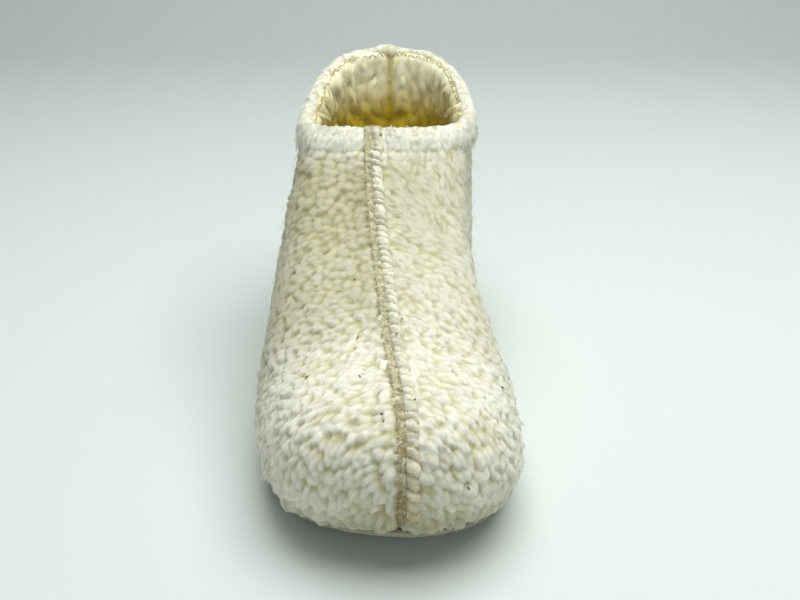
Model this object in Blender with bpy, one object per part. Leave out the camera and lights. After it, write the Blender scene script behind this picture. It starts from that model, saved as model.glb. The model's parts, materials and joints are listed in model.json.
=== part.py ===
"""Slipper boot for a right foot: curly wool fleece on a thin leather sole.

Metres, +Z up. The toe points to -Y and the medial side to +X, and the boot stands
empty on its sole at Z = 0. Upper, hem and seams are all read from one surface,
skin(), whose rings climb from the sole's edge (level 0) to the collar's edge (level 1).
Lengths along the foot are measured from the back of the heel.
"""

import functools
import math
import random
from collections import namedtuple

import bmesh
import bpy
import numpy as np

# Driving dimensions of the whole boot
LENGTH = 0.270
WALL = 0.0065
GAP = 0.0003
SOLE_THICKNESS = 0.004
INSOLE_THICKNESS = 0.005
WIDEST_HEIGHT = 0.0197
TUCK = 0.0080
TUCK_FADE_WIDTH = 0.020
TOE_SPRING = 0.0168
SPRING_START = 0.190
ARCH_RISE = 0.0025
ARCH_START = 0.086
ARCH_END = 0.146

# Collar and toe
COLLAR_HEIGHT_AT_BACK = 0.1326
COLLAR_SAG = 0.0075
COLLAR_BACK = -0.0013
ACHILLES_HOLLOW = 0.004
COLLAR_WIDEST = 0.058
COLLAR_HALF_WIDTH = {"lateral": 0.0402, "medial": 0.0418}
THROAT = 0.1009
TOE_TOP = 0.2185
TIP_OFFSET = 0.0115

# Roundness of the curves, as superellipse exponents: 2 is an ellipse, more is squarer
HEEL_ROUNDNESS = 2.2
COLLAR_ROUNDNESS = 2.3
TOE_ROUNDNESS = {"lateral": 2.55, "medial": 2.25}
TOE_DOME_ROUNDNESS = 2.2
THROAT_ARCH_ROUNDNESS = 6.1
TOE_ARCH_ROUNDNESS = 2.3
SHAFT_TAPER_POWER = 1.35

# Half widths of the foot's outline at its widest height: heel, waist and ball
Station = namedtuple("Station", "along half_width")
OUTLINE = {
    "lateral": (Station(0.044, 0.0454), Station(0.108, 0.0522), Station(0.171, 0.0525)),
    "medial": (Station(0.044, 0.0454), Station(0.108, 0.0385), Station(0.210, 0.0556)),
}

# Height of the ridge from above the throat, down the instep and the vamp, to the toe
RidgePoint = namedtuple("RidgePoint", "along height")
RIDGE = (
    RidgePoint(0.0559, 0.3160),
    RidgePoint(0.0859, 0.1590),
    RidgePoint(THROAT, 0.1177),
    RidgePoint(0.1433, 0.0865),
    RidgePoint(0.1832, 0.0704),
    RidgePoint(TOE_TOP, 0.0592),
    RidgePoint(LENGTH, 0.0562),
)

# Sideways place of the centre seam, which swings to the medial side at the toe
SeamPoint = namedtuple("SeamPoint", "along offset")
SEAM_LINE = (
    SeamPoint(0.0, 0.0),
    SeamPoint(THROAT, -0.0047),
    SeamPoint(0.1855, 0.0034),
    SeamPoint(LENGTH, TIP_OFFSET),
)

# Raised seams, which lie in a shallow channel of the fleece
CHANNEL_DEPTH = 0.0020
CHANNEL_SLOPE = 0.0007
FRONT_CHANNEL_HALF_WIDTH = 0.0050
BACK_CHANNEL_HALF_WIDTH = 0.0030
SEAM_START_LEVEL = 0.035
SEAM_END_LEVEL = 0.996
SEAM_GAP = 0.00015

# Cross sections of the seams: across from the seam line, rise from the fleece's surface
SeamCorner = namedtuple("SeamCorner", "across rise")
FLAT_SEAM = (
    SeamCorner(-0.0046, -0.0017),
    SeamCorner(-SEAM_GAP, -0.0017),
    SeamCorner(-SEAM_GAP, -0.0003),
    SeamCorner(-0.0042, -0.0006),
)
OVERLOCK_SEAM = (
    SeamCorner(SEAM_GAP, -0.0017),
    SeamCorner(0.0045, -0.0017),
    SeamCorner(0.0042, 0.0002),
    SeamCorner(0.0030, 0.0012),
    SeamCorner(0.0015, 0.0012),
    SeamCorner(SEAM_GAP, 0.0003),
)
BACK_SEAM = (
    SeamCorner(-0.0025, -0.0017),
    SeamCorner(0.0025, -0.0017),
    SeamCorner(0.0021, 0.0002),
    SeamCorner(0.0, 0.0007),
    SeamCorner(-0.0021, 0.0002),
)

# Turned hem: depth under the fleece's surface and share of the hem's height
HEM_HEIGHT = 0.011
HEM_GAP = 0.0007
HEM_GROOVE = 0.0022
HemCorner = namedtuple("HemCorner", "depth height")
HEM_SECTION = (
    HemCorner(HEM_GROOVE, 0.0),
    HemCorner(0.0010, 0.30),
    HemCorner(0.0011, 0.70),
    HemCorner(0.0024, 0.95),
    HemCorner(0.0042, 1.0),
    HemCorner(0.0058, 0.92),
    HemCorner(WALL, 0.60),
    HemCorner(WALL, 0.0),
)

# Sole and insole: inset of each ring from the upper's lower edge, and its height
SlabRing = namedtuple("SlabRing", "inset height")
SOLE_LIP = 0.0008
OUTSOLE_RINGS = (
    SlabRing(0.0022, 0.0),
    SlabRing(-SOLE_LIP, 0.0015),
    SlabRing(-SOLE_LIP, 0.0030),
    SlabRing(0.0002, SOLE_THICKNESS),
)
INSOLE_FOOT = SOLE_THICKNESS + GAP
INSOLE_INSET = WALL + 2 * GAP
INSOLE_RINGS = (
    SlabRing(INSOLE_INSET, INSOLE_FOOT),
    SlabRing(INSOLE_INSET, INSOLE_FOOT + 0.7 * INSOLE_THICKNESS),
    SlabRing(INSOLE_INSET + 0.002, INSOLE_FOOT + INSOLE_THICKNESS),
)

# Fleece tufts: how far the hollows between the locks sink, and how uneven the locks are
TUFT_DEPTH = 0.0020
TUFT_UNEVENNESS = 0.35
TUFT_SEED = 7

# Mesh counts
RING_SAMPLES = 260
SIDE_COLUMNS = 42
OUTER_ROWS = 34
INNER_ROWS = 9
SEAM_ROWS = 40
BACK_SEAM_ROWS = 20
SLAB_RUNGS = 26
SLAB_COLUMNS = 5
ROW_CROWDING = 0.25
SHARP_ANGLE = math.radians(50)

# Levels of the rings: below TUCK_LEVEL the upper tucks in towards the sole
TUCK_LEVEL = 0.16
FEATHER_HEIGHT = SOLE_THICKNESS + GAP
SHAFT_RISE = COLLAR_HEIGHT_AT_BACK - WIDEST_HEIGHT
LEVEL_PER_METRE = (1 - TUCK_LEVEL) / SHAFT_RISE
HEM_FOOT_LEVEL = 1 - HEM_HEIGHT * LEVEL_PER_METRE
WALL_TOP_LEVEL = HEM_FOOT_LEVEL - HEM_GAP * LEVEL_PER_METRE
LEVEL_STEP = 0.004
TURN_STEP = 0.004


def ease(fraction):
    """Smooth step from 0 to 1."""
    inside = np.clip(fraction, 0.0, 1.0)
    return inside * inside * (3 - 2 * inside)


def arc_fall(fraction, roundness):
    """Quarter of a superellipse: 1 at fraction 0, falling to 0 at fraction 1."""
    inside = np.clip(fraction, 0.0, 1.0)
    return np.power(1 - np.power(inside, roundness), 1 / roundness)


def smooth_through(along, rows):
    """Smooth curve through a table's two columns that never overshoots its rows."""
    places = np.array([row[0] for row in rows])
    values = np.array([row[1] for row in rows])
    steps = np.diff(places)
    slopes = np.diff(values) / steps
    tangents = np.zeros(len(rows))
    for row in range(1, len(rows) - 1):
        before, after = slopes[row - 1], slopes[row]
        if before * after > 0:
            tangents[row] = 2 * before * after / (before + after)
    inside = np.clip(along, places[0], places[-1])
    span = np.clip(np.searchsorted(places, inside, side="right") - 1, 0, len(rows) - 2)
    part = (inside - places[span]) / steps[span]
    rise = ease(part)
    lean_in = part * (1 - part) ** 2 * steps[span] * tangents[span]
    lean_out = part * part * (part - 1) * steps[span] * tangents[span + 1]
    return values[span] + (values[span + 1] - values[span]) * rise + lean_in + lean_out


def lift(along):
    """Height of the sole's underside: flat at heel and forefoot, with an arch and a toe spring."""
    spring = np.clip((along - SPRING_START) / (LENGTH - SPRING_START), 0.0, None)
    arch = np.clip((along - ARCH_START) / (ARCH_END - ARCH_START), 0.0, 1.0)
    return TOE_SPRING * spring**2 + ARCH_RISE * np.sin(np.pi * arch) ** 2


def outward(side):
    """Direction of a side along X."""
    return -1.0 if side == "lateral" else 1.0


def foot_edge(side, along):
    """X of the foot's outline at its widest height."""
    stations = OUTLINE[side]
    heel, ball = stations[0], stations[-1]
    sign = outward(side)
    behind = heel.half_width * arc_fall((heel.along - along) / heel.along, HEEL_ROUNDNESS)
    toe_share = (along - ball.along) / (LENGTH - ball.along)
    toe_width = sign * ball.half_width - TIP_OFFSET
    toe = TIP_OFFSET + toe_width * arc_fall(toe_share, TOE_ROUNDNESS[side])
    between = sign * smooth_through(along, stations)
    return np.where(along < heel.along, sign * behind, np.where(along > ball.along, toe, between))


def collar_edge(side, along, back):
    """X of the collar's outline from its back, which the ridge closes at the front."""
    share = (COLLAR_WIDEST - along) / (COLLAR_WIDEST - back)
    return outward(side) * COLLAR_HALF_WIDTH[side] * arc_fall(share, COLLAR_ROUNDNESS)


def ridge_height(along):
    """Height of the ridge over the sole, closed by a dome at the toe."""
    dome = arc_fall((along - TOE_TOP) / (LENGTH - TOE_TOP), TOE_DOME_ROUNDNESS)
    return WIDEST_HEIGHT + (smooth_through(along, RIDGE) - WIDEST_HEIGHT) * dome


@functools.lru_cache(maxsize=None)
def front_profile():
    """The ridge from the toe's tip to the throat: length along it, place and height."""
    quarter = np.linspace(0, math.pi / 2, 2 * RING_SAMPLES)
    along = LENGTH - (LENGTH - THROAT) * (1 - np.cos(quarter))
    height = ridge_height(along)
    steps = np.hypot(np.diff(along), np.diff(height))
    return np.concatenate([[0.0], np.cumsum(steps)]), along, height


def tucked_half(side, level):
    """One side of a ring that tucks in under the widest outline."""
    share = level / TUCK_LEVEL
    inset = TUCK * (1 - share) ** 2
    height = FEATHER_HEIGHT + (WIDEST_HEIGHT - FEATHER_HEIGHT) * share
    swing = (1 - np.cos(np.linspace(0, math.pi, RING_SAMPLES))) / 2
    along = swing * LENGTH
    centre = smooth_through(along, SEAM_LINE)
    width = np.abs(foot_edge(side, along) - centre)
    narrowed = np.maximum(width - inset * np.minimum(1.0, width / TUCK_FADE_WIDTH), 0.0)
    across = centre + outward(side) * narrowed
    shortened = inset + along * (LENGTH - 2 * inset) / LENGTH
    return across, shortened, np.full(RING_SAMPLES, height)


def arched_half(side, level):
    """One side of a ring above the widest outline, up to the collar's edge."""
    share = (level - TUCK_LEVEL) / (1 - TUCK_LEVEL)
    length, place, height = front_profile()
    crowding = 1 - SHAFT_RISE / length[-1]
    front_length = length[-1] * share * (1 + crowding * (1 - share))
    front_along = np.interp(front_length, length, place)
    front_height = np.interp(front_length, length, height)
    back_height = WIDEST_HEIGHT + SHAFT_RISE * share
    back_along = COLLAR_BACK * ease(share) + ACHILLES_HOLLOW * math.sin(math.pi * share) ** 2
    swing = (1 - np.cos(np.linspace(0, math.pi, RING_SAMPLES))) / 2
    along = back_along + (front_along - back_along) * swing
    sag = COLLAR_SAG * share**3 * np.sin(math.pi * swing) ** 2
    height = back_height + (front_height - back_height) * swing - sag
    climb = (height - WIDEST_HEIGHT) / np.maximum(ridge_height(along) - WIDEST_HEIGHT, 1e-9)
    to_throat = ease((TOE_TOP - along) / (TOE_TOP - THROAT))
    roundness = TOE_ARCH_ROUNDNESS + (THROAT_ARCH_ROUNDNESS - TOE_ARCH_ROUNDNESS) * to_throat
    taper = ease((height - WIDEST_HEIGHT) / SHAFT_RISE) ** SHAFT_TAPER_POWER
    foot = foot_edge(side, np.clip((along - back_along) * LENGTH / (LENGTH - back_along), 0, LENGTH))
    edge = foot * (1 - taper) + collar_edge(side, along, back_along) * taper
    centre = smooth_through(along, SEAM_LINE)
    across = centre + (edge - centre) * arc_fall(climb, roundness)
    across[-1] = centre[-1]
    return across, along, height


@functools.lru_cache(maxsize=None)
def ring(level):
    """Turn and points of a whole ring: turn -1 at the back, 0 at the front seam, 1 at the back."""
    turns = []
    points = []
    lengths = {}
    for side in ("lateral", "medial"):
        half = tucked_half if level <= TUCK_LEVEL else arched_half
        across, along, height = half(side, level)
        line = np.stack([across, LENGTH / 2 - along, height + lift(along)], axis=1)
        walked = np.concatenate([[0.0], np.cumsum(np.linalg.norm(np.diff(line, axis=0), axis=1))])
        lengths[side] = walked[-1]
        turn = walked / walked[-1] - 1
        if side == "medial":
            turn, line = -turn[-2::-1], line[-2::-1]
        turns.append(turn)
        points.append(line)
    return np.concatenate(turns), np.concatenate(points), lengths


def on_ring(level, turn):
    """Points of a ring at these turns."""
    turns, points, _ = ring(level)
    wrapped = (np.asarray(turn) + 1) % 2 - 1
    return np.stack([np.interp(wrapped, turns, points[:, axis]) for axis in range(3)], axis=-1)


def skin(level, turn, rise):
    """Points at a rise from the fleece's surface. Level with the sole's edge the rise is sideways."""
    turn = np.asarray(turn, dtype=float)
    low = max(level - LEVEL_STEP, 0.0)
    high = min(level + LEVEL_STEP, 1.0)
    up = on_ring(high, turn) - on_ring(low, turn)
    along = on_ring(level, turn + TURN_STEP) - on_ring(level, turn - TURN_STEP)
    normal = np.cross(along, up)
    normal[:, 2] *= float(ease(level / TUCK_LEVEL))
    normal /= np.linalg.norm(normal, axis=1, keepdims=True)
    return on_ring(level, turn) + normal * np.reshape(rise, (-1, 1))


def seam_turns(level, across, at_back=False):
    """Turns at these distances from the front seam, or from the back seam: medial is positive."""
    lengths = ring(level)[2]
    distances = np.asarray(across, dtype=float)
    spans = np.where((distances < 0) != at_back, lengths["lateral"], lengths["medial"])
    return 1 - distances / spans if at_back else distances / spans


def ring_columns(level):
    """Turns of the upper's mesh columns, with lines along both edges of each seam's channel."""
    lengths = ring(level)[2]
    halves = []
    for side in ("lateral", "medial"):
        span = lengths[side]
        front_edge = FRONT_CHANNEL_HALF_WIDTH + CHANNEL_SLOPE
        back_edge = span - BACK_CHANNEL_HALF_WIDTH - CHANNEL_SLOPE
        spread = np.linspace(front_edge, back_edge, SIDE_COLUMNS)
        front = [FRONT_CHANNEL_HALF_WIDTH / 2, FRONT_CHANNEL_HALF_WIDTH]
        halves.append(np.concatenate([front, spread, [span - BACK_CHANNEL_HALF_WIDTH]]) / span)
    return np.concatenate([[-1.0], -halves[0][::-1], [0.0], halves[1]])


def channel_depth(level, turn):
    """Depth of the channels that the seams lie in."""
    lengths = ring(level)[2]
    spans = np.where(turn < 0, lengths["lateral"], lengths["medial"])
    from_front = np.abs(turn) * spans
    from_back = spans - from_front
    front = 1 - (from_front - FRONT_CHANNEL_HALF_WIDTH) / CHANNEL_SLOPE
    back = 1 - (from_back - BACK_CHANNEL_HALF_WIDTH) / CHANNEL_SLOPE
    return CHANNEL_DEPTH * np.clip(np.maximum(front, back), 0.0, 1.0)


def spread_levels(first, last, count):
    """Levels of a mesh's rows, closer together at the toe, where the rings fan out."""
    share = np.linspace(0, 1, count)
    crowded = share * (1 - ROW_CROWDING + ROW_CROWDING * share)
    return [float(level) for level in first + (last - first) * crowded]


def link_rings(mesh, rings):
    """Quads between closed rings of points, each ring listed as an array."""
    rows = [[mesh.verts.new(point) for point in points] for points in rings]
    for below, above in zip(rows, rows[1:]):
        for here in range(len(below)):
            after = (here + 1) % len(below)
            mesh.faces.new((below[here], below[after], above[after], above[here]))
    return rows


def make_material(name, colour, roughness):
    """Principled material with one colour and roughness."""
    material = bpy.data.materials.new(name)
    material.use_nodes = True
    shader = material.node_tree.nodes["Principled BSDF"]
    shader.inputs["Base Color"].default_value = (*colour, 1.0)
    shader.inputs["Roughness"].default_value = roughness
    shader.inputs["Metallic"].default_value = 0.0
    return material


def add_part(collection, name, mesh, material):
    """Object of a finished bmesh, with its faces turned outwards."""
    bmesh.ops.recalc_face_normals(mesh, faces=mesh.faces)
    data = bpy.data.meshes.new(name)
    mesh.to_mesh(data)
    mesh.free()
    data.shade_smooth()
    data.set_sharp_from_angle(angle=SHARP_ANGLE)
    data.materials.append(material)
    part = bpy.data.objects.new(name, data)
    collection.objects.link(part)
    return part


def fleece_rise(level, turn, row, uneven):
    """Rise of the upper's outer face: locks stand in staggered rows, and fade at seams and edges."""
    column = np.arange(len(turn))
    tip = (column % 2 == 0) & ((row + column // 2) % 2 == 0)
    sunk = TUFT_DEPTH * np.where(tip, TUFT_UNEVENNESS * uneven, 1.0)
    edge = min(level, WALL_TOP_LEVEL - level) / TUCK_LEVEL
    groove = HEM_GROOVE * (1 - ease((WALL_TOP_LEVEL - level) / LEVEL_PER_METRE / HEM_HEIGHT))
    return -np.maximum(np.maximum(sunk * ease(2 * edge), channel_depth(level, turn)), groove)


def make_upper(collection, material):
    """The fleece upper: one hollow wall, open at the collar and over the sole."""
    uneven = random.Random(TUFT_SEED)
    outer = []
    for row, level in enumerate(spread_levels(0.0, WALL_TOP_LEVEL, OUTER_ROWS)):
        turn = ring_columns(level)
        draws = np.array([uneven.random() for _ in turn])
        outer.append(skin(level, turn, fleece_rise(level, turn, row, draws)))
    inner = []
    for level in spread_levels(0.0, WALL_TOP_LEVEL, INNER_ROWS):
        turn = ring_columns(level)
        inner.append(skin(level, turn, np.full(len(turn), -WALL)))
    mesh = bmesh.new()
    rows = link_rings(mesh, outer + inner[::-1])
    first, last = rows[0], rows[-1]
    for here in range(len(first)):
        after = (here + 1) % len(first)
        mesh.faces.new((last[here], last[after], first[after], first[here]))
    return add_part(collection, "upper", mesh, material)


def make_collar_hem(collection, material):
    """The turned hem: a rolled band on the wall's upper edge."""
    sections = []
    for corner in HEM_SECTION:
        level = HEM_FOOT_LEVEL + (1 - HEM_FOOT_LEVEL) * corner.height
        turn = ring_columns(level)
        depth = np.maximum(corner.depth, channel_depth(level, turn))
        sections.append(skin(level, turn, -depth))
    mesh = bmesh.new()
    rows = link_rings(mesh, sections)
    first, last = rows[0], rows[-1]
    for here in range(len(first)):
        after = (here + 1) % len(first)
        mesh.faces.new((last[here], last[after], first[after], first[here]))
    return add_part(collection, "collar_hem", mesh, material)


def make_seam(collection, name, corners, rows, material, at_back=False):
    """A raised seam of one cross section, from the sole's edge to the collar's edge."""
    across = [corner.across for corner in corners]
    rise = [corner.rise for corner in corners]
    sections = []
    for level in spread_levels(SEAM_START_LEVEL, SEAM_END_LEVEL, rows):
        sections.append(skin(level, seam_turns(level, across, at_back), rise))
    mesh = bmesh.new()
    ends = link_rings(mesh, sections)
    mesh.faces.new(ends[0])
    mesh.faces.new(ends[-1])
    return add_part(collection, name, mesh, material)


def slab_ring(inset, height):
    """Ring of a flat layer inside or outside the upper's lower edge, bent with the sole."""
    half = np.linspace(0, 1, SLAB_RUNGS + 1)
    turn = np.concatenate([half - 1, half[1:-1]])
    points = skin(0.0, turn, np.full(len(turn), -inset))
    points[:, 2] = height + lift(LENGTH / 2 - points[:, 1])
    return points


def close_slab(mesh, edge, height):
    """Covers a slab with rungs from its lateral edge to its medial edge, bent with the sole."""
    shares = np.linspace(0, 1, SLAB_COLUMNS)[1:-1]
    rungs = [[edge[0]]]
    for rung in range(1, SLAB_RUNGS):
        lateral, medial = edge[rung], edge[-rung]
        inner = [lateral.co.lerp(medial.co, share) for share in shares]
        for point in inner:
            point.z = height + float(lift(LENGTH / 2 - point.y))
        rungs.append([lateral, *(mesh.verts.new(point) for point in inner), medial])
    rungs.append([edge[SLAB_RUNGS]])
    for behind, ahead in zip(rungs, rungs[1:]):
        for column in range(SLAB_COLUMNS - 1):
            corners = [behind[column % len(behind)], behind[(column + 1) % len(behind)]]
            corners += [ahead[(column + 1) % len(ahead)], ahead[column % len(ahead)]]
            mesh.faces.new(list(dict.fromkeys(corners)))


def make_slab(collection, name, slab_rings, material):
    """A closed layer with shaped edges, such as the outsole or the insole."""
    mesh = bmesh.new()
    rows = link_rings(mesh, [slab_ring(*slab) for slab in slab_rings])
    close_slab(mesh, rows[0], slab_rings[0].height)
    close_slab(mesh, rows[-1], slab_rings[-1].height)
    return add_part(collection, name, mesh, material)


def stand_on_origin(parts):
    """Moves all the parts so that the middle of the boot's box is over the origin."""
    corners = np.array([vertex.co for part in parts for vertex in part.data.vertices])
    middle = (corners.min(axis=0) + corners.max(axis=0)) / 2
    for part in parts:
        for vertex in part.data.vertices:
            vertex.co.x -= middle[0]
            vertex.co.y -= middle[1]


def main():
    for leftover in list(bpy.data.objects):
        bpy.data.objects.remove(leftover, do_unlink=True)
    collection = bpy.data.collections.new("slipper_boot")
    bpy.context.scene.collection.children.link(collection)

    fleece = make_material("cream_fleece", (0.80, 0.79, 0.66), 0.95)
    hem = make_material("hem_fleece", (0.86, 0.85, 0.74), 0.95)
    beige_tape = make_material("beige_seam_tape", (0.50, 0.46, 0.31), 0.9)
    overlock = make_material("cream_overlock_yarn", (0.72, 0.68, 0.50), 0.85)
    sole_leather = make_material("pale_sole_leather", (0.58, 0.55, 0.42), 0.6)
    wool_lining = make_material("wool_lining", (0.66, 0.60, 0.38), 0.95)

    parts = [
        make_slab(collection, "outsole", OUTSOLE_RINGS, sole_leather),
        make_slab(collection, "insole", INSOLE_RINGS, wool_lining),
        make_upper(collection, fleece),
        make_collar_hem(collection, hem),
        make_seam(collection, "front_seam_tape", FLAT_SEAM, SEAM_ROWS, beige_tape),
        make_seam(collection, "front_seam_overlock", OVERLOCK_SEAM, SEAM_ROWS, overlock),
        make_seam(collection, "back_seam", BACK_SEAM, BACK_SEAM_ROWS, overlock, at_back=True),
    ]
    stand_on_origin(parts)


main()
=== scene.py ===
# %% [markdown]
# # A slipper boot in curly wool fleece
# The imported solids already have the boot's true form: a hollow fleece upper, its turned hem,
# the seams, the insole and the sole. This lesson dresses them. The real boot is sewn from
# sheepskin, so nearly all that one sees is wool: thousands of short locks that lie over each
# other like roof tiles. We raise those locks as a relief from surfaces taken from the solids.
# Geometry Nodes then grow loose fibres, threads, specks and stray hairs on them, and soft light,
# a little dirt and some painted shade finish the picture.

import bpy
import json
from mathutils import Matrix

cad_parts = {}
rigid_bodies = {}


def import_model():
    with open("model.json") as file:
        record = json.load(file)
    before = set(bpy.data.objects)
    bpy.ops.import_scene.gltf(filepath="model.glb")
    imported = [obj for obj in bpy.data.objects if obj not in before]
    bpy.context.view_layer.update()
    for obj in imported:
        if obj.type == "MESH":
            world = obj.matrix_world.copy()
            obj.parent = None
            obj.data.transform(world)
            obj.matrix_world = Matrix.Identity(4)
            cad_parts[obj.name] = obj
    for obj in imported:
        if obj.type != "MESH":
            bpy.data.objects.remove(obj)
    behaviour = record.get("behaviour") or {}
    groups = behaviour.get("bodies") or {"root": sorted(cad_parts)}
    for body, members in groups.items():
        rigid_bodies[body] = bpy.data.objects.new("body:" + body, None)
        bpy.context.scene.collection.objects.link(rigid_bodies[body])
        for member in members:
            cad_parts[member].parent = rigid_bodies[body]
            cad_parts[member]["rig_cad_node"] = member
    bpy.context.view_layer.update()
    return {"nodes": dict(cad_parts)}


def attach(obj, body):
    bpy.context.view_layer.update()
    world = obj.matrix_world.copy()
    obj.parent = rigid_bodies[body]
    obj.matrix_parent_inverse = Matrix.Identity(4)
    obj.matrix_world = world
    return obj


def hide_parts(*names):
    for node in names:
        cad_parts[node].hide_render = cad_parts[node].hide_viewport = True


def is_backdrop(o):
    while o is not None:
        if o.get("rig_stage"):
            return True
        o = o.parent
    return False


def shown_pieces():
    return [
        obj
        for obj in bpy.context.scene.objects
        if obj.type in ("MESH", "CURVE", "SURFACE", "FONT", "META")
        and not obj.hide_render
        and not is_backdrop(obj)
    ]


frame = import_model()
print("solids:", sorted(frame["nodes"]))

# %% Tools for the whole lesson
import json
import math
import random

import bmesh
import bpy
import numpy as np
from mathutils import Vector, noise
from mathutils.bvhtree import BVHTree
from mathutils.kdtree import KDTree

MM = 0.001
NOISE_SEED = 7
scene = bpy.context.scene
# Noise vectors depend on a seed that is new in each session unless it is set.
noise.seed_set(NOISE_SEED)


def link_piece(name, mesh):
    """A new object at the origin that shows this mesh."""
    piece = bpy.data.objects.new(name, mesh)
    scene.collection.objects.link(piece)
    return piece


def put_on(piece, material):
    """Makes this the piece's only material."""
    piece.data.materials.clear()
    piece.data.materials.append(material)


def triangle_count(mesh):
    mesh.calc_loop_triangles()
    return len(mesh.loop_triangles)


print("one millimetre is", MM, "m in this scene")

# %% [markdown]
# ## The camera
# The photo looks down at the toe from a hand's height above the boot. A camera is easiest to
# place as a photographer would: choose the point to aim at, then swing round it by an azimuth,
# an elevation and a distance. The lens follows from the view angle.

# %% Camera
LENS_MM = 49.5
SENSOR_MM = 36.0
AIM = Vector((5.4 * MM, 0, 48.5 * MM))
CAMERA_DISTANCE = 487.5 * MM
CAMERA_ELEVATION = math.radians(24.2)
CAMERA_SWING = math.radians(0.46)

camera_data = bpy.data.cameras.new("photo_camera")
camera_data.lens = LENS_MM
camera_data.sensor_width = SENSOR_MM
camera_data.clip_start = 0.01
camera = bpy.data.objects.new("photo_camera", camera_data)
scene.collection.objects.link(camera)
towards_camera = Vector((
    math.sin(CAMERA_SWING) * math.cos(CAMERA_ELEVATION),
    -math.cos(CAMERA_SWING) * math.cos(CAMERA_ELEVATION),
    math.sin(CAMERA_ELEVATION),
))
camera.location = AIM + towards_camera * CAMERA_DISTANCE
camera.rotation_euler = towards_camera.to_track_quat("Z", "Y").to_euler()
scene.camera = camera
print("camera stands at", [round(value, 3) for value in camera.location])

# %% [markdown]
# ## The stage
# A photographer's sweep is one sheet of paper: it lies under the boot and curves up behind it,
# so there is no corner line. We draw its profile once and stretch it sideways. Large area
# lights above give the soft shadow under the raised toe.

# %% Paper sweep and lights
SWEEP_FRONT = -1.6
SWEEP_BACK = 0.75
SWEEP_BEND = 0.45
SWEEP_TOP = 1.9
SWEEP_HALF_WIDTH = 2.2
BEND_STEPS = 16
SWEEP_COLOUR = (0.66, 0.71, 0.69, 1)
LIGHTS = {
    "top_softbox": {
        "place": (0.15, 0.02, 0.95), "aim": (0, 0, 0.03), "size": (0.9, 0.9),
        "watts": 11.7, "colour": (1.0, 1.0, 0.985),
    },
    "front_fill": {
        "place": (0.05, -1.1, 0.50), "aim": (0, 0, 0.04), "size": (0.8, 0.6),
        "watts": 1.9, "colour": (1.0, 1.0, 1.0),
    },
}
SKY_COLOUR = (0.93, 1.0, 0.98, 1)
SKY_STRENGTH = 0.23


def sweep_profile():
    """(y, z) points of the paper from front to back and up."""
    points = [(SWEEP_FRONT, 0.0)]
    for step in range(BEND_STEPS + 1):
        turn = math.pi / 2 * step / BEND_STEPS
        points.append((SWEEP_BACK + SWEEP_BEND * math.sin(turn), SWEEP_BEND * (1 - math.cos(turn))))
    points.append((SWEEP_BACK + SWEEP_BEND, SWEEP_TOP))
    return points


def make_sweep():
    sheet = bmesh.new()
    rows = []
    for along, height in sweep_profile():
        left = sheet.verts.new((-SWEEP_HALF_WIDTH, along, height))
        right = sheet.verts.new((SWEEP_HALF_WIDTH, along, height))
        rows.append((left, right))
    for (left, right), (next_left, next_right) in zip(rows, rows[1:]):
        sheet.faces.new((left, right, next_right, next_left)).smooth = True
    mesh = bpy.data.meshes.new("paper_sweep")
    sheet.to_mesh(mesh)
    sheet.free()
    return link_piece("paper_sweep", mesh)


def add_light(name, place, aim, size, watts, colour):
    """A rectangular area light at place that shines towards aim."""
    data = bpy.data.lights.new(name, "AREA")
    data.shape = "RECTANGLE"
    data.size, data.size_y = size
    data.energy = watts
    data.color = colour
    light = bpy.data.objects.new(name, data)
    scene.collection.objects.link(light)
    light.location = place
    light.rotation_euler = (Vector(place) - Vector(aim)).to_track_quat("Z", "Y").to_euler()


sweep = make_sweep()
sweep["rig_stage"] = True
paper = bpy.data.materials.new("paper")
paper.use_nodes = True
paper_shader = paper.node_tree.nodes["Principled BSDF"]
paper_shader.inputs["Base Color"].default_value = SWEEP_COLOUR
paper_shader.inputs["Roughness"].default_value = 0.9
paper_shader.inputs["Specular IOR Level"].default_value = 0.1
put_on(sweep, paper)

for light_name, light in LIGHTS.items():
    add_light(light_name, **light)
world = bpy.data.worlds.new("studio")
world.use_nodes = True
sky = world.node_tree.nodes["Background"]
sky.inputs["Color"].default_value = SKY_COLOUR
sky.inputs["Strength"].default_value = SKY_STRENGTH
scene.world = world
scene.view_settings.view_transform = "Standard"

# %% [markdown]
# ## What wool looks like up close
# A lock is a bundle of fine fibres, so it shows streaks along its length. It is pale at the tip,
# where light gets in, and darker yellow-green at the root: partly the lanolin that stays there,
# partly painted shade, since the root colour fills the hollows between locks. More than one
# material needs this, so it is a node group. It reads attributes that the wool will carry: where a
# point lies on its lock, how near it is to the tip, a shade of the lock's own, and how much stain
# and painted shade it has, in one value.

# %% Node group for wool fibres
SHADE_SHIFT = 61.0
STREAK_STRETCH = (1.0, 0.09, 1.0)


def group_sockets(group, inputs, outputs):
    """Adds named sockets to a node group: (name, type, default) and (name, type)."""
    for name, kind, default in inputs:
        socket = group.interface.new_socket(name, in_out="INPUT", socket_type=kind)
        socket.default_value = default
    for name, kind in outputs:
        group.interface.new_socket(name, in_out="OUTPUT", socket_type=kind)


def node(tree, kind, settings=None, inputs=None):
    """A new node with its settings, and each input either linked from a socket or set."""
    made = tree.nodes.new(kind)
    for name, value in (settings or {}).items():
        setattr(made, name, value)
    for name, value in (inputs or {}).items():
        if isinstance(value, bpy.types.NodeSocket):
            tree.links.new(value, made.inputs[name])
        else:
            made.inputs[name].default_value = value
    return made


def attribute_output(tree, name, output):
    return node(tree, "ShaderNodeAttribute", {"attribute_name": name}).outputs[output]


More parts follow.
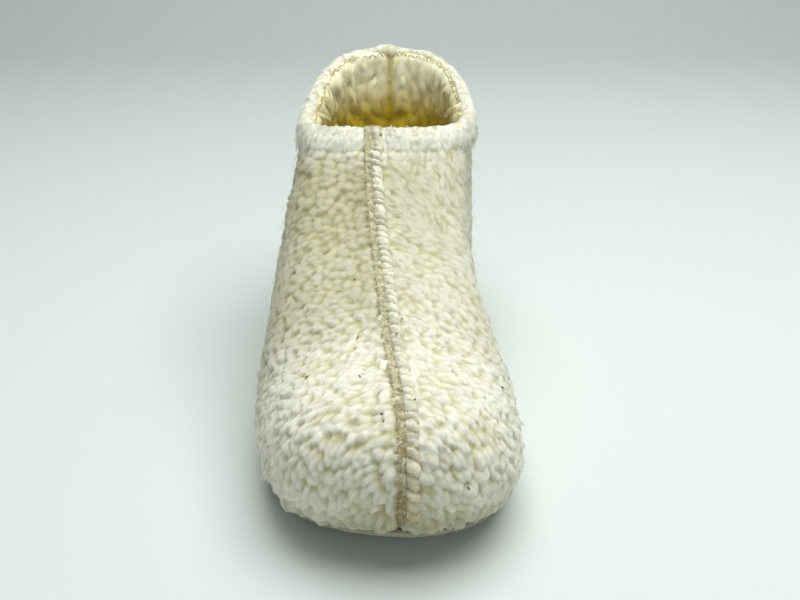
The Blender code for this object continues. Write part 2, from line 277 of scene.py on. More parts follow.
def build_wool_group():
    group = bpy.data.node_groups.new("wool_fibres", "ShaderNodeTree")
    group_sockets(
        group,
        [
            ("Root Colour", "NodeSocketColor", (0.5, 0.46, 0.25, 1)),
            ("Tip Colour", "NodeSocketColor", (0.85, 0.84, 0.74, 1)),
            ("Root Reach", "NodeSocketFloat", 0.6),
            ("Streaks", "NodeSocketFloat", 2.0),
            ("Streak Depth", "NodeSocketFloat", 0.08),
            ("Shade Range", "NodeSocketFloat", 0.2),
            ("Stain And Shade Colour", "NodeSocketColor", (0.6, 0.5, 0.3, 1)),
        ],
        [("Colour", "NodeSocketColor"), ("Height", "NodeSocketFloat")],
    )
    given = group.nodes.new("NodeGroupInput").outputs
    place = attribute_output(group, "lock_place", "Vector")
    along = attribute_output(group, "lock_along", "Fac")
    shade = attribute_output(group, "lock_shade", "Fac")
    shift = node(group, "ShaderNodeMath", {"operation": "MULTIPLY"}, {0: shade, 1: SHADE_SHIFT})
    across = node(group, "ShaderNodeVectorMath", {"operation": "MULTIPLY"}, {0: place, 1: STREAK_STRETCH})
    streak_place = node(group, "ShaderNodeVectorMath", {"operation": "ADD"},
                        {0: across.outputs[0], 1: shift.outputs[0]})
    streaks = node(group, "ShaderNodeTexNoise", None,
                   {"Vector": streak_place.outputs[0], "Scale": given["Streaks"], "Detail": 2.0,
                    "Roughness": 0.65})
    # Low on a lock, in the hollows, the root colour stands partly for painted shade.
    tip_share = node(group, "ShaderNodeMapRange", {"interpolation_type": "SMOOTHSTEP"},
                     {"Value": along, "From Min": 0.05, "From Max": given["Root Reach"]})
    tinted = node(group, "ShaderNodeMix", {"data_type": "RGBA"},
                  {0: tip_share.outputs[0], 6: given["Root Colour"], 7: given["Tip Colour"]})
    darkest = node(group, "ShaderNodeMath", {"operation": "SUBTRACT"}, {0: 1.0, 1: given["Streak Depth"]})
    streak_tone = node(group, "ShaderNodeMapRange", None,
                       {"Value": streaks.outputs["Fac"], "From Min": 0.3, "From Max": 0.7,
                        "To Min": darkest.outputs[0], "To Max": 1.04})
    lock_tone = node(group, "ShaderNodeMath", {"operation": "SUBTRACT"}, {0: shade, 1: 0.5})
    lock_tone = node(group, "ShaderNodeMath", {"operation": "MULTIPLY_ADD"},
                     {0: lock_tone.outputs[0], 1: given["Shade Range"], 2: 1.0})
    tone = node(group, "ShaderNodeMath", {"operation": "MULTIPLY"},
                {0: streak_tone.outputs[0], 1: lock_tone.outputs[0]})
    coloured = node(group, "ShaderNodeVectorMath", {"operation": "SCALE"},
                    {0: tinted.outputs[2], "Scale": tone.outputs[0]})
    # The stain colour is multiplied in where the attribute asks: real dirt, and painted shade as well.
    stained_and_shaded = node(group, "ShaderNodeMix", {"data_type": "RGBA", "blend_type": "MULTIPLY"},
                   {0: attribute_output(group, "stain_and_shade", "Fac"), 6: coloured.outputs[0],
                    7: given["Stain And Shade Colour"]})
    node(group, "NodeGroupOutput", None,
         {"Colour": stained_and_shaded.outputs[2], "Height": streaks.outputs["Fac"]})
    return group


wool_fibres = build_wool_group()
print("group wool_fibres:", len(wool_fibres.nodes), "nodes")

# %% [markdown]
# ## The wool materials
# Every woolly piece shares one recipe: fibres from the group give colour and a fine bump, and a
# soft sheen brightens the edges. Light also goes through loose wool, so a lock never looks as
# dark on its far side as a stone would. We imitate that by turning the normal part of the way
# to that of the skin below, which the raised pieces carry as an attribute. Only the colours and
# a few strengths differ, so one function makes all these materials.

# %% Wool materials
def wool_material(name, root, tip, stain_and_shade=(0.6, 0.5, 0.3), root_reach=0.6, streaks=2.0,
                  streak_depth=0.08, shade_range=0.12, bump=0.2, sheen=0.25, softness=0.5):
    material = bpy.data.materials.new(name)
    material.use_nodes = True
    tree = material.node_tree
    shader = tree.nodes["Principled BSDF"]
    fibres = node(tree, "ShaderNodeGroup", {"node_tree": wool_fibres},
                  {"Root Colour": (*root, 1), "Tip Colour": (*tip, 1), "Root Reach": root_reach,
                   "Streaks": streaks, "Streak Depth": streak_depth, "Shade Range": shade_range,
                   "Stain And Shade Colour": (*stain_and_shade, 1)})
    skin_normal = attribute_output(tree, "skin_normal", "Vector")
    own_normal = node(tree, "ShaderNodeTexCoord").outputs["Normal"]
    soft_normal = node(tree, "ShaderNodeMix", {"data_type": "VECTOR"},
                       {0: softness, 4: own_normal, 5: skin_normal})
    soft_normal = node(tree, "ShaderNodeVectorMath", {"operation": "NORMALIZE"},
                       {0: soft_normal.outputs[1]})
    relief = node(tree, "ShaderNodeBump", None,
                  {"Strength": bump, "Distance": 0.5 * MM, "Height": fibres.outputs["Height"],
                   "Normal": soft_normal.outputs[0]})
    tree.links.new(fibres.outputs["Colour"], shader.inputs["Base Color"])
    tree.links.new(relief.outputs["Normal"], shader.inputs["Normal"])
    shader.inputs["Roughness"].default_value = 0.95
    shader.inputs["Specular IOR Level"].default_value = 0.1
    shader.inputs["Sheen Weight"].default_value = sheen
    shader.inputs["Sheen Roughness"].default_value = 0.5
    shader.inputs["Sheen Tint"].default_value = (1.0, 0.98, 0.92, 1)
    return material


# Low in the hollows between locks the root colour shows, partly as painted shade. The stain colour darkens
# real dirt and also the painted shade along the bottom, on the shaft and on the lateral side.
fleece_wool = wool_material("curly_fleece", (0.62, 0.59, 0.34), (0.84, 0.84, 0.725),
                            stain_and_shade=(0.60, 0.58, 0.45), root_reach=0.85, streaks=3.5, streak_depth=0.14,
                            bump=0.5)
fibre_wool = wool_material("loose_fibres", (0.77, 0.765, 0.62), (0.82, 0.82, 0.69),
                           stain_and_shade=(0.60, 0.58, 0.45), bump=0.1)
backing_wool = wool_material("sheepskin", (0.72, 0.69, 0.46), (0.72, 0.69, 0.46))
hem_wool = wool_material("short_pile", (0.62, 0.61, 0.44), (0.77, 0.77, 0.665),
                         stain_and_shade=(0.92, 0.85, 0.60))
# The lining's stain colour is the deep golden painted shade far down inside the boot.
lining_wool = wool_material("long_lining", (0.86, 0.79, 0.42), (0.97, 0.95, 0.70),
                            stain_and_shade=(0.62, 0.48, 0.06), streaks=1.2, streak_depth=0.12, shade_range=0.2,
                            bump=0.4, sheen=0.05, softness=0.35)
tape_wool = wool_material("beige_fuzz", (0.52, 0.47, 0.28), (0.84, 0.80, 0.58),
                          stain_and_shade=(0.52, 0.43, 0.27), streaks=4.0, streak_depth=0.2, shade_range=0.6)
yarn_wool = wool_material("cream_yarn", (0.54, 0.50, 0.28), (0.82, 0.81, 0.68),
                          stain_and_shade=(0.58, 0.49, 0.33), root_reach=0.7, streaks=3.0, streak_depth=0.15,
                          shade_range=0.3)
print("wool materials:", [made.name for made in bpy.data.materials if made.name != "paper"])

# %% [markdown]
# ## Surfaces to grow wool on
# Wool grows from a skin, so we need smooth skins, and the frame has them: the outside of the
# upper, its inside, the hem and the insole. A imported solid is loose triangles, so a copy is
# merged first. A face belongs to the outside when its normal points away from the middle of
# the foot room. A few faces are misjudged that way, so only the largest patch of inner faces
# counts as the inside. The outside is combed flat with a smoothing pass and sunk a little,
# which leaves room for the locks to reach the outline that the solid had. Where the ankle bends
# the cloth gives in soft troughs, which are listed and pressed in here. A Remesh
# modifier then turns such a form into small even squares, fine enough to raise locks from.

# %% Skins from the solids
MERGE = 0.01 * MM
FOOT_AXIS_HEIGHT = 30 * MM
SHAFT_START = 60 * MM
SHAFT_FRONT = 15 * MM
SHAFT_AXIS = 85 * MM
SHAFT_HEARTS = (45 * MM, 95 * MM)
TOE_HEART = -95 * MM
HEEL_HEART = 90 * MM
COMB_PASSES = 12
COMB_STEPS = (0.5, -0.52)
SINK = 2.0 * MM
SEAM_CLEAR = 7 * MM
FRONT_SEAM_NODES = ["front_seam_tape", "front_seam_overlock"]
SEAM_NODES = [*FRONT_SEAM_NODES, "back_seam"]
SPRING_RISE = 16.8 * MM
SPRING_START = 55 * MM
SPRING_LENGTH = 80 * MM
# Each crease: where it starts and ends, its depth and its breadth, in millimetres.
CREASES = [
    ((-44, 20, 62), (-34, 34, 84), 1.5, 6),
    ((40, 18, 60), (33, 36, 86), 1.8, 6),
    ((36, 60, 70), (37, 66, 96), 1.0, 7),
    ((-20, -2, 84), (-34, 8, 70), 1.0, 6),
]


def merged_copy(name):
    """A bmesh copy of a solid with its loose triangles joined."""
    copy = bmesh.new()
    copy.from_mesh(frame["nodes"][name].data)
    bmesh.ops.remove_doubles(copy, verts=copy.verts, dist=MERGE)
    copy.normal_update()
    return copy


def heart_near(point):
    """The middle of the foot room, or of the shaft, beside this point."""
    if point.z > SHAFT_START and point.y > SHAFT_FRONT:
        return Vector((0, min(max(point.y, SHAFT_HEARTS[0]), SHAFT_HEARTS[1]), point.z))
    return Vector((0, min(max(point.y, TOE_HEART), HEEL_HEART), FOOT_AXIS_HEIGHT))


def faces_out(face):
    """Whether a face looks away from the middle of the foot room."""
    middle = face.calc_center_median()
    return face.normal.dot(middle - heart_near(middle)) > 0


def lookup_of(places):
    """A lookup of the nearest of these points."""
    lookup = KDTree(len(places))
    for index, place in enumerate(places):
        lookup.insert(place, index)
    lookup.balance()
    return lookup


def tree_of_points(names):
    """A lookup of the nearest corner of these solids."""
    return lookup_of([corner.co for name in names for corner in frame["nodes"][name].data.vertices])


def smooth_step(value, low, high):
    share = np.clip((value - low) / (high - low), 0, 1)
    return share * share * (3 - 2 * share)


def comb(corners):
    """Smooths these corners without shrinking the form: each step in is followed by one out."""
    for _ in range(COMB_PASSES):
        for step in COMB_STEPS:
            moves = []
            for corner in corners:
                around = [edge.other_vert(corner).co for edge in corner.link_edges]
                moves.append((sum(around, Vector()) / len(around) - corner.co) * step)
            for corner, move in zip(corners, moves):
                corner.co += move


def crease_depth(places):
    """How far the soft troughs press each corner in."""
    depth = np.zeros(len(places))
    for start, end, deepest, breadth in CREASES:
        first = np.array(start) * MM
        way = np.array(end) * MM - first
        share = np.clip((places - first) @ way / (way @ way), 0, 1)
        distance = np.linalg.norm(places - first - share[:, None] * way, axis=1)
        depth += deepest * MM * np.exp(-((distance / (breadth * MM)) ** 2))
    return depth


def largest_patch(faces):
    """The largest patch of faces that hang together, which leaves out misjudged single faces."""
    left = set(faces)
    patches = []
    while left:
        patch = [left.pop()]
        for face in patch:
            beside = {other for edge in face.edges for other in edge.link_faces} & left
            left -= beside
            patch.extend(beside)
        patches.append(patch)
    return max(patches, key=len)


def sunk_upper():
    """The upper with its outside combed smooth, sunk and creased, still one closed wall."""
    wall = merged_copy("upper")
    inside = largest_patch([face for face in wall.faces if not faces_out(face)])
    inside_corners = {corner for face in inside for corner in face.verts}
    loose = [corner for corner in wall.verts if corner not in inside_corners]
    packed_places = [corner.co.copy() for corner in loose]
    comb(loose)
    wall.normal_update()
    seams = tree_of_points(SEAM_NODES)
    creased = crease_depth(np.array(packed_places))
    for corner, packed_place, crease in zip(loose, packed_places, creased):
        free = smooth_step(seams.find(packed_place)[2], 0, SEAM_CLEAR)
        corner.co = packed_place.lerp(corner.co, free) - corner.normal * (SINK + crease) * free
    wall.normal_update()
    return wall


def skin_of(solid, keep):
    """A mesh of the faces of this bmesh that pass the test."""
    skin = solid.copy()
    dropped = [face for face in skin.faces if not keep(face)]
    bmesh.ops.delete(skin, geom=dropped, context="FACES")
    for face in skin.faces:
        face.smooth = True
    mesh = bpy.data.meshes.new("skin")
    skin.to_mesh(mesh)
    skin.free()
    return mesh


def even_mesh(solid, *squares):
    """Corner places, corner normals and the corners of each square of an even mesh of this form.

    Large squares before small ones close narrow gaps first.
    """
    rough = bpy.data.meshes.new("rough")
    solid.to_mesh(rough)
    holder = link_piece("even_holder", rough)
    for square in squares:
        modifier = holder.modifiers.new("even", "REMESH")
        modifier.mode = "VOXEL"
        modifier.voxel_size = square
    even = bpy.data.meshes.new_from_object(holder.evaluated_get(bpy.context.evaluated_depsgraph_get()))
    bpy.data.objects.remove(holder)
    places = np.empty(len(even.vertices) * 3)
    normals = np.empty(len(even.vertices) * 3)
    squares = np.empty(len(even.loops), dtype=np.int32)
    even.vertices.foreach_get("co", places)
    even.vertex_normals.foreach_get("vector", normals)
    even.loops.foreach_get("vertex_index", squares)
    return places.reshape(-1, 3), normals.reshape(-1, 3), squares.reshape(-1, 4)


def facing_out(places, normals):
    """How each corner faces: 1 is straight away from the foot room, -1 straight into it."""
    hearts = np.zeros_like(places)
    on_shaft = (places[:, 2] > SHAFT_START) & (places[:, 1] > SHAFT_FRONT)
    hearts[:, 1] = np.where(on_shaft, np.clip(places[:, 1], *SHAFT_HEARTS),
                            np.clip(places[:, 1], TOE_HEART, HEEL_HEART))
    hearts[:, 2] = np.where(on_shaft, places[:, 2], FOOT_AXIS_HEIGHT)
    away = places - hearts
    away /= np.linalg.norm(away, axis=1)[:, None]
    return (normals * away).sum(1)


def only_squares(squares, kept):
    """The corners in use by squares whose corners are all kept, and these squares, renumbered."""
    used, corners = np.unique(squares[kept[squares].all(1)], return_inverse=True)
    return used, corners.reshape(-1, 4)


def mesh_of_squares(name, places, squares, attributes):
    """A smooth mesh of these squares alone, with (name, kind, values) attributes on its corners."""
    used, corners = np.unique(squares, return_inverse=True)
    mesh = bpy.data.meshes.new(name)
    mesh.vertices.add(len(used))
    mesh.vertices.foreach_set("co", places[used].ravel())
    mesh.loops.add(squares.size)
    mesh.loops.foreach_set("vertex_index", corners.ravel().astype(np.int32))
    mesh.polygons.add(len(squares))
    mesh.polygons.foreach_set("loop_start", np.arange(0, squares.size, 4, dtype=np.int32))
    mesh.update(calc_edges=True)
    mesh.shade_smooth()
    for label, kind, values in attributes:
        write_attribute(mesh, label, kind, values[used])
    return mesh


def write_attribute(mesh, name, kind, values):
    attribute = mesh.attributes.new(name, kind, "POINT")
    field = "vector" if kind == "FLOAT_VECTOR" else "value"
    attribute.data.foreach_set(field, np.asarray(values, dtype=np.float32).ravel())


backing = sunk_upper()
hem_solid = merged_copy("collar_hem")
outer_tree = BVHTree.FromBMesh(backing)
print("backing:", len(backing.verts), "corners,", len(backing.faces), "faces")

# %% [markdown]
# ## The sheepskin itself
# Under the locks lies the skin that they grow on. The sunk wall is that layer: it stands for
# the solid upper and keeps its form, and the wool covers it on both sides.

# %% Fleece backing
backing_mesh = bpy.data.meshes.new("fleece_backing")
backing.to_mesh(backing_mesh)
backing_mesh.shade_smooth()
backing_piece = link_piece("fleece_backing", backing_mesh)
put_on(backing_piece, backing_wool)
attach(backing_piece, "root")
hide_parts("upper")
print("fleece_backing:", triangle_count(backing_mesh), "triangles")

# %% [markdown]
# ## The nap
# Wool has a direction. On this boot it falls down the shaft, runs outwards from the front seam
# over the instep, and points down and forward round the toe. The relief follows that direction.
# For loose fibres we also write it on every corner of a skin as an attribute, with a size and a
# density, so the node tree only has to read them. A little smooth noise turns neighbours
# together, as combed wool does.

# %% Nap attributes
SEAM_POLE = (30 * MM, -50 * MM)
BACK_POLE = (60 * MM, 60 * MM)
SEAM_BLUR = math.radians(1.6)
SWIRL_SIZE = 16 * MM
SWIRL = 0.55


def seam_line(name, pole, count):
    """Points along the middle of a seam solid, in order round a pole given as (y, z)."""
    places = np.array([corner.co for corner in frame["nodes"][name].data.vertices])
    turns = np.arctan2(places[:, 2] - pole[1], places[:, 1] - pole[0])
    line = []
    for turn in np.linspace(turns.max(), turns.min(), count):
        weight = np.exp(-(((turns - turn) / SEAM_BLUR) ** 2))
        line.append((places * weight[:, None]).sum(0) / weight.sum())
    return np.array(line)


front_line = seam_line("front_seam_tape", SEAM_POLE, 80)
front_order = np.argsort(front_line[:, 1])


def seam_side(places):
    """How far each point lies from the front seam, sideways: below 0 is the lateral side."""
    seam_x = np.interp(places[:, 1], front_line[front_order, 1], front_line[front_order, 0])
    return places[:, 0] - seam_x


def corner_arrays(mesh):
    """Places and normals of a mesh's corners."""
    places = np.array([corner.co for corner in mesh.vertices])
    normals = np.array([corner.normal for corner in mesh.vertices])
    return places, normals


def noise_at(places, size):
    """Smooth noise at each point, about -1 to 1, with patches of this size."""
    return np.array([noise.noise(Vector(place) / size) for place in places])


def swirl_at(places, seed):
    """Smooth noise vectors, so that neighbouring locks lean alike."""
    shift = Vector((seed, 0, 0))
    return np.array([noise.noise_vector(Vector(place) / SWIRL_SIZE + shift) for place in places])


def clear_of(places, names, near, far):
    """0 beside these solids, rising to 1 away from them."""
    lookup = tree_of_points(names)
    distances = np.array([lookup.find(place)[2] for place in places])
    return smooth_step(distances, near, far)


def write_nap(skin, nap, lift_off, size, density):
    """Stores what the lock tree reads on a skin; loose fibres shade by their own normals."""
    if "skin_normal" in skin.attributes:
        skin.attributes.remove(skin.attributes["skin_normal"])
    write_attribute(skin, "nap", "FLOAT_VECTOR", nap)
    write_attribute(skin, "lift_off", "FLOAT_VECTOR", lift_off)
    write_attribute(skin, "lock_size", "FLOAT", size)
    write_attribute(skin, "lock_density", "FLOAT", density)


print("front seam: from", front_line[0].round(3), "to", front_line[-1].round(3))

# %% [markdown]
# ## Raising locks from the skin
# Most of the fleece is a relief. Each lock starts at a seed on the skin, swells along the nap,
# is fullest past its middle and ends round. Where locks overlap, the higher one shows, but the sum
# of high powers melts them together a little, as soft wool does. Every corner also remembers
# where on the highest lock it lies, so that the wool material can draw fibres along the lock.

# %% Lock relief
LOCK_BEHIND = 0.35
MELT = 7
CLUMP_SIZE = 14 * MM
LEAST_RISE = 0.15 * MM
LOCK_CHANCE = (0.72, 1.28)
CLUMP_RISE = 0.45
MOST_BEND = 0.35


def lock_body(along, across):
    """Height of a lock, 0 to 1: swelling from the root, fullest past its middle, round at the end."""
    along = np.clip(along, 0, 1)
    breadth = 0.45 + 0.55 * np.sin(np.pi * (along * 0.85 + 0.15))
    swell = 1.75 * along ** 0.85 * (1 - along ** 3.5) ** 0.8
    return swell * np.clip(1 - (across / breadth) ** 2, 0, 1)


def softened(values, squares, passes):
    """Values blurred over neighbouring squares."""
    shares = np.bincount(squares.ravel(), minlength=len(values))
    for _ in range(passes):
        means = values[squares].mean(1)
        values = np.bincount(squares.ravel(), np.repeat(means, 4), len(values)) / np.maximum(shares, 1)
    return values


def raise_locks(places, normals, nap, size, seed):
    """Lock heights at each corner, and the lock places and shades that the wool reads.

    The columns of size are the length, width and rise of a lock that grows at each corner, and
    how much of its own length and width it keeps free of other seeds.
    """
    chance = np.random.default_rng(seed)
    lookup = lookup_of(places)
    forward = nap - normals * (nap * normals).sum(1)[:, None]
    forward /= np.linalg.norm(forward, axis=1)[:, None] + 1e-9
    clump = noise_at(places, CLUMP_SIZE)
    highest = np.zeros(len(places))
    melted = np.zeros(len(places))
    lock_place = np.zeros_like(places)
    lock_shade = np.zeros(len(places))
    taken = np.zeros(len(places), dtype=bool)
    for root in chance.permutation(len(places)):
        if taken[root] or size[root, 2] < LEAST_RISE:
            continue
        length, width, rise = size[root, :3] * chance.uniform(*LOCK_CHANCE, 3)
        rise *= 1 + CLUMP_RISE * clump[root]
        near = np.array([hit[1] for hit in lookup.find_range(places[root], length)])
        offset = places[near] - places[root]
        ahead = offset @ forward[root] / length
        side = offset @ np.cross(normals[root], forward[root])
        taken[near[np.hypot(ahead, side / width) < size[root, 3]]] = True
        along = ahead + LOCK_BEHIND
        bend = chance.uniform(-MOST_BEND, MOST_BEND) * width * along ** 2
        bump = rise * lock_body(along, (side + bend) / (width / 2))
        melted[near] += (bump / MM) ** MELT
        higher = bump > highest[near]
        chosen = near[higher]
        highest[chosen] = bump[higher]
        lock_place[chosen, 0] = side[higher] / MM
        lock_place[chosen, 1] = along[higher] * length / MM
        lock_shade[chosen] = chance.uniform()
    return melted ** (1 / MELT) * MM, lock_place, lock_shade


def wool_attributes(lock_place, lock_along, lock_shade, skin_normal, stain_and_shade):
    """What the wool material reads, as (name, kind, values) for mesh_of_squares."""
    return [
        ("lock_place", "FLOAT_VECTOR", lock_place),
        ("lock_along", "FLOAT", lock_along),
        ("lock_shade", "FLOAT", lock_shade),
        ("skin_normal", "FLOAT_VECTOR", skin_normal),
        ("stain_and_shade", "FLOAT", stain_and_shade),
    ]


print("a lock is", lock_body(np.array([0.2, 0.5, 0.8, 1.0]), 0).round(2), "high along its length")

# %% [markdown]
# ## The fleece
# Two panels meet at the front seam. Each is split again at the instep, so that no piece grows
# too heavy. The locks differ by place, as on the real skin: round curls on the outer side of the
# shaft, long combed ones on its inner side, and the fullest over the toe.

# %% Outside fleece
SQUARE = 0.64 * MM
INSTEP_SPLIT = 0 * MM
LOCK_BASE = 0.15 * MM
VAMP_LOCK = np.array((5.6 * MM, 4.4 * MM, 0.9 * MM, 0.60))
TOE_LOCK = np.array((6.4 * MM, 3.6 * MM, 2.4 * MM, 0.62))
ROUND_LOCK = np.array((6.2 * MM, 5.2 * MM, 1.5 * MM, 0.62))
COMBED_LOCK = np.array((8.5 * MM, 3.0 * MM, 1.1 * MM, 0.55))
BILLOW = 1.6 * MM
BILLOW_SIZE = 8 * MM
FRIZZ = 0.4 * MM
FRIZZ_SIZE = 1.5 * MM
DRAPE_LOW = 4.5 * MM
DRAPE_HIGH = 11 * MM
DRAPE_DROP = 3.5 * MM
DRAPE_OUT = 1.7 * MM
LIP_SHOWS = 1.8 * MM
LIP_HALF = 13 * MM
FLOOR_GAP = 0.4 * MM
SOFT_VAMP = 2.2
SOFT_TOE = 1.3
SIDE_REACH = 12 * MM
INSTEP_TURN = (58 * MM, 90 * MM)
SEAM_PARTING = (4 * MM, 14 * MM)
TOE_LOCKS = (10 * MM, 90 * MM)
TOE_TONE = (40 * MM, 100 * MM)
SHAFT_LOCKS = (62 * MM, 92 * MM)
MEDIAL_TURN = (-4 * MM, 4 * MM)
MEDIAL_RISE = 0.6
TIP_SHARE = 0.85
FLEECE_SEED = 21
DIRT_SPOT = np.array((6, -130, 26)) * MM
DIRT_REACH = 26 * MM
BLOTCH_SIZE = 5 * MM
LOW_PAINTED_SHADE = (4 * MM, 15 * MM)
LATERAL_PAINTED_SHADE = (-6 * MM, 10 * MM)
SHAFT_PAINTED_SHADE = (66 * MM, 90 * MM)
SHAFT_SHADE_HEM_FADE = (100 * MM, 112 * MM)
VAMP_SHADE_TOE_FADE = (40 * MM, 80 * MM)
RAGGED_SIZE = 3 * MM
LIP_FRONT = -100 * MM


def nap_of_fleece(places):
    """The way the outside wool lies."""
    side = np.clip(seam_side(places) / SIDE_REACH, -1, 1)
    on_instep = 1 - smooth_step(places[:, 2], *INSTEP_TURN)
    nap = swirl_at(places, 1.5) * SWIRL
    beside_seam = 1 - smooth_step(np.abs(seam_side(places)), *SEAM_PARTING)
    nap[:, 0] += side * (0.15 + 0.75 * on_instep + 0.8 * beside_seam * (1 - on_instep))
    nap[:, 1] += -0.55 * on_instep
    nap[:, 2] += -0.75
    return nap


def sole_height(places):
    """Height of the sole's underside below each point, which rises towards the toe."""
    return SPRING_RISE * np.clip((-places[:, 1] - SPRING_START) / SPRING_LENGTH, 0, None) ** 2


def blend(first, second, share):
    return first * (1 - share)[:, None] + second * share[:, None]


def lock_sizes(places):
    """Length, width, rise and spacing of the outside locks, which differ by place."""
    on_toe = smooth_step(-places[:, 1], *TOE_LOCKS)
    on_shaft = smooth_step(places[:, 2], *SHAFT_LOCKS)
    on_medial = smooth_step(seam_side(places), *MEDIAL_TURN)
    vamp = np.tile(VAMP_LOCK, (len(places), 1))
    vamp[:, 2] *= 1 - (1 - MEDIAL_RISE) * on_medial
    vamp = blend(vamp, TOE_LOCK, on_toe)
    shaft = blend(np.tile(ROUND_LOCK, (len(places), 1)), COMBED_LOCK, on_medial)
    return blend(vamp, shaft, on_shaft)


def blotches(places):
    return noise_at(places, BLOTCH_SIZE) * 0.5 + 0.5


def toe_dirt(places):
    """Dirt beside the seam at the toe, in blotches."""
    return np.exp(-((np.linalg.norm(places - DIRT_SPOT, axis=1) / DIRT_REACH) ** 2)) * blotches(places)


def dirt_and_painted_shade_at(places):
    """Dirt of the fleece at the toe and in blotches, and painted shade along the bottom, on the shaft and on
    the vamp, most on the lateral side.
    """
    # Painted shade: the lowest wool, which faces the floor, is darkened.
    low = 1 - smooth_step(places[:, 2] - sole_height(places), *LOW_PAINTED_SHADE)
    lateral = 1 - smooth_step(seam_side(places), *LATERAL_PAINTED_SHADE)
    on_shaft = smooth_step(places[:, 2], *SHAFT_PAINTED_SHADE)
    under_hem = 1 - smooth_step(places[:, 2], *SHAFT_SHADE_HEM_FADE)
    on_vamp = (1 - on_shaft) * (1 - smooth_step(-places[:, 1], *VAMP_SHADE_TOE_FADE))
    # Painted shade: the shaft and the vamp darkened, most on the lateral side, away from the key light.
    painted_side_shade = on_shaft * under_hem * (0.60 + 0.30 * lateral) + on_vamp * (0.32 + 0.42 * lateral)
    return np.clip(0.9 * toe_dirt(places) + 0.85 * low + painted_side_shade + 0.18 * (blotches(places) > 0.72), 0, 1)


def drape(raised, places, normals):
    """Lets the lowest wool hang over the sole's edge, less in front of the toe, where it shows."""
    low = 1 - smooth_step(places[:, 2] - sole_height(places), DRAPE_LOW, DRAPE_HIGH)
    ragged = noise_at(places, RAGGED_SIZE) * MM
    at_lip = np.exp(-((seam_side(places) / LIP_HALF) ** 4)) * (places[:, 1] < LIP_FRONT)
    raised[:, :2] += normals[:, :2] * (DRAPE_OUT * low)[:, None]
    raised[:, 2] -= low * (DRAPE_DROP - LIP_SHOWS * at_lip + ragged)
    raised[:, 2] = np.maximum(raised[:, 2], FLOOR_GAP)


def raise_fleece():
    """The outside of the upper with its locks raised, as places, squares and attributes."""
    places, normals, squares = even_mesh(backing, SQUARE)
    used, squares = only_squares(squares, facing_out(places, normals) > 0)
    places, normals = places[used], normals[used]
    nap = nap_of_fleece(places)
    clear = clear_of(places, SEAM_NODES, 0.3 * MM, 3 * MM)
    size = lock_sizes(places)
    size[:, 2] *= 0.15 + 0.85 * clear
    size[:, :2] *= (0.7 + 0.3 * clear)[:, None]
    height, lock_place, lock_shade = raise_locks(places, normals, nap, size, FLEECE_SEED)
    height = softened(height, squares, 1)
    on_toe = smooth_step(-places[:, 1], *TOE_TONE)
    # Low places between locks take the root colour: painted shade, partly the roots' own yellow.
    tipness = np.clip(height / np.maximum(size[:, 2], 0.2 * MM), 0, 1)
    tipness = 1 - (1 - tipness) * TIP_SHARE
    free = clear * clear_of(places, ["collar_hem"], 0.3 * MM, 5 * MM)
    billow = noise_at(places, BILLOW_SIZE) * 0.5 + 0.5
    frizz = noise_at(places, FRIZZ_SIZE)
    height = (BILLOW * billow + FRIZZ * frizz) * free + height * (0.2 + 0.8 * free)
    raised = places + normals * np.maximum(height, LOCK_BASE * free)[:, None]
    drape(raised, places, normals)
    soft_normals = normals * (SOFT_VAMP + (SOFT_TOE - SOFT_VAMP) * on_toe)[:, None]
    stain_and_shade = softened(dirt_and_painted_shade_at(places), squares, 2)
    return raised, squares, wool_attributes(lock_place, tipness, lock_shade, soft_normals, stain_and_shade)


fleece_places, fleece_squares, fleece_attributes = raise_fleece()
square_middles = fleece_places[fleece_squares].mean(1)
is_lateral = seam_side(square_middles) < 0
is_toe = square_middles[:, 1] < INSTEP_SPLIT
PANELS = {
    "fleece_lateral_toe": is_lateral & is_toe,
    "fleece_lateral_heel": is_lateral & ~is_toe,
    "fleece_medial_toe": ~is_lateral & is_toe,
    "fleece_medial_heel": ~is_lateral & ~is_toe,
}
for name, chosen in PANELS.items():
    panel = link_piece(name, mesh_of_squares(name, fleece_places, fleece_squares[chosen], fleece_attributes))
    put_on(panel, fleece_wool)
    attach(panel, "root")
    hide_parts("upper")
    print(name + ":", triangle_count(panel.data), "triangles")

# %% [markdown]
# ## The hem and the lining
# The hem is the panel's own edge, turned in and sewn, so its wool is short and combed straight
# down. Inside, the wool was never trimmed: it is longer, yellower and lies in large soft tufts,
# and a painted golden shade darkens it towards the foot, where less light comes in. Both are
# raised in the same way as the fleece, with other lock sizes.

# %% Hem and lining
HEM_SQUARE = 0.65 * MM
HEM_LOCK = np.array((5.5 * MM, 2.6 * MM, 0.9 * MM, 0.46))
HEM_INSIDE_LOCK = np.array((5.5 * MM, 3.2 * MM, 0.7 * MM, 0.46))
HEM_SWELL = 0.9 * MM
HEM_SWELL_SIZE = 9 * MM
HEM_RAGGED_SIZE = 4 * MM
HEM_SEED = 31
PEAK_PLACE = np.array((-2, 133, 132)) * MM
PEAK_RISE = 1.6 * MM
PEAK_REACH = 6 * MM
HEM_HANG = 2.2 * MM
HEM_OVERHANG = 0.7 * MM
HEM_HANG_REACH = 6 * MM
STITCH_DROP = 2.0 * MM
LINING_SQUARE = 1.5 * MM
CLOSING_SQUARE = 2.6 * MM
LINING_START = 0.4 * MM
LINING_LOCK = np.array((12.0 * MM, 8.0 * MM, 4.4 * MM, 0.50))
LINING_BASE = 0.5 * MM
LINING_FADE = 5 * MM
LINING_PASSES = 6
FACING_PASSES = 8
INSIDE_BELOW = 0.4
LINING_SEED = 41
RIM_STOPS = 73
RIM_STOP_HALF = 0.09
PARTING_X = -1 * MM
PARTING_HALF = 2.2 * MM
DEPTH_SHADE_TOP = 123 * MM
DEPTH_SHADE_BOTTOM = 97 * MM


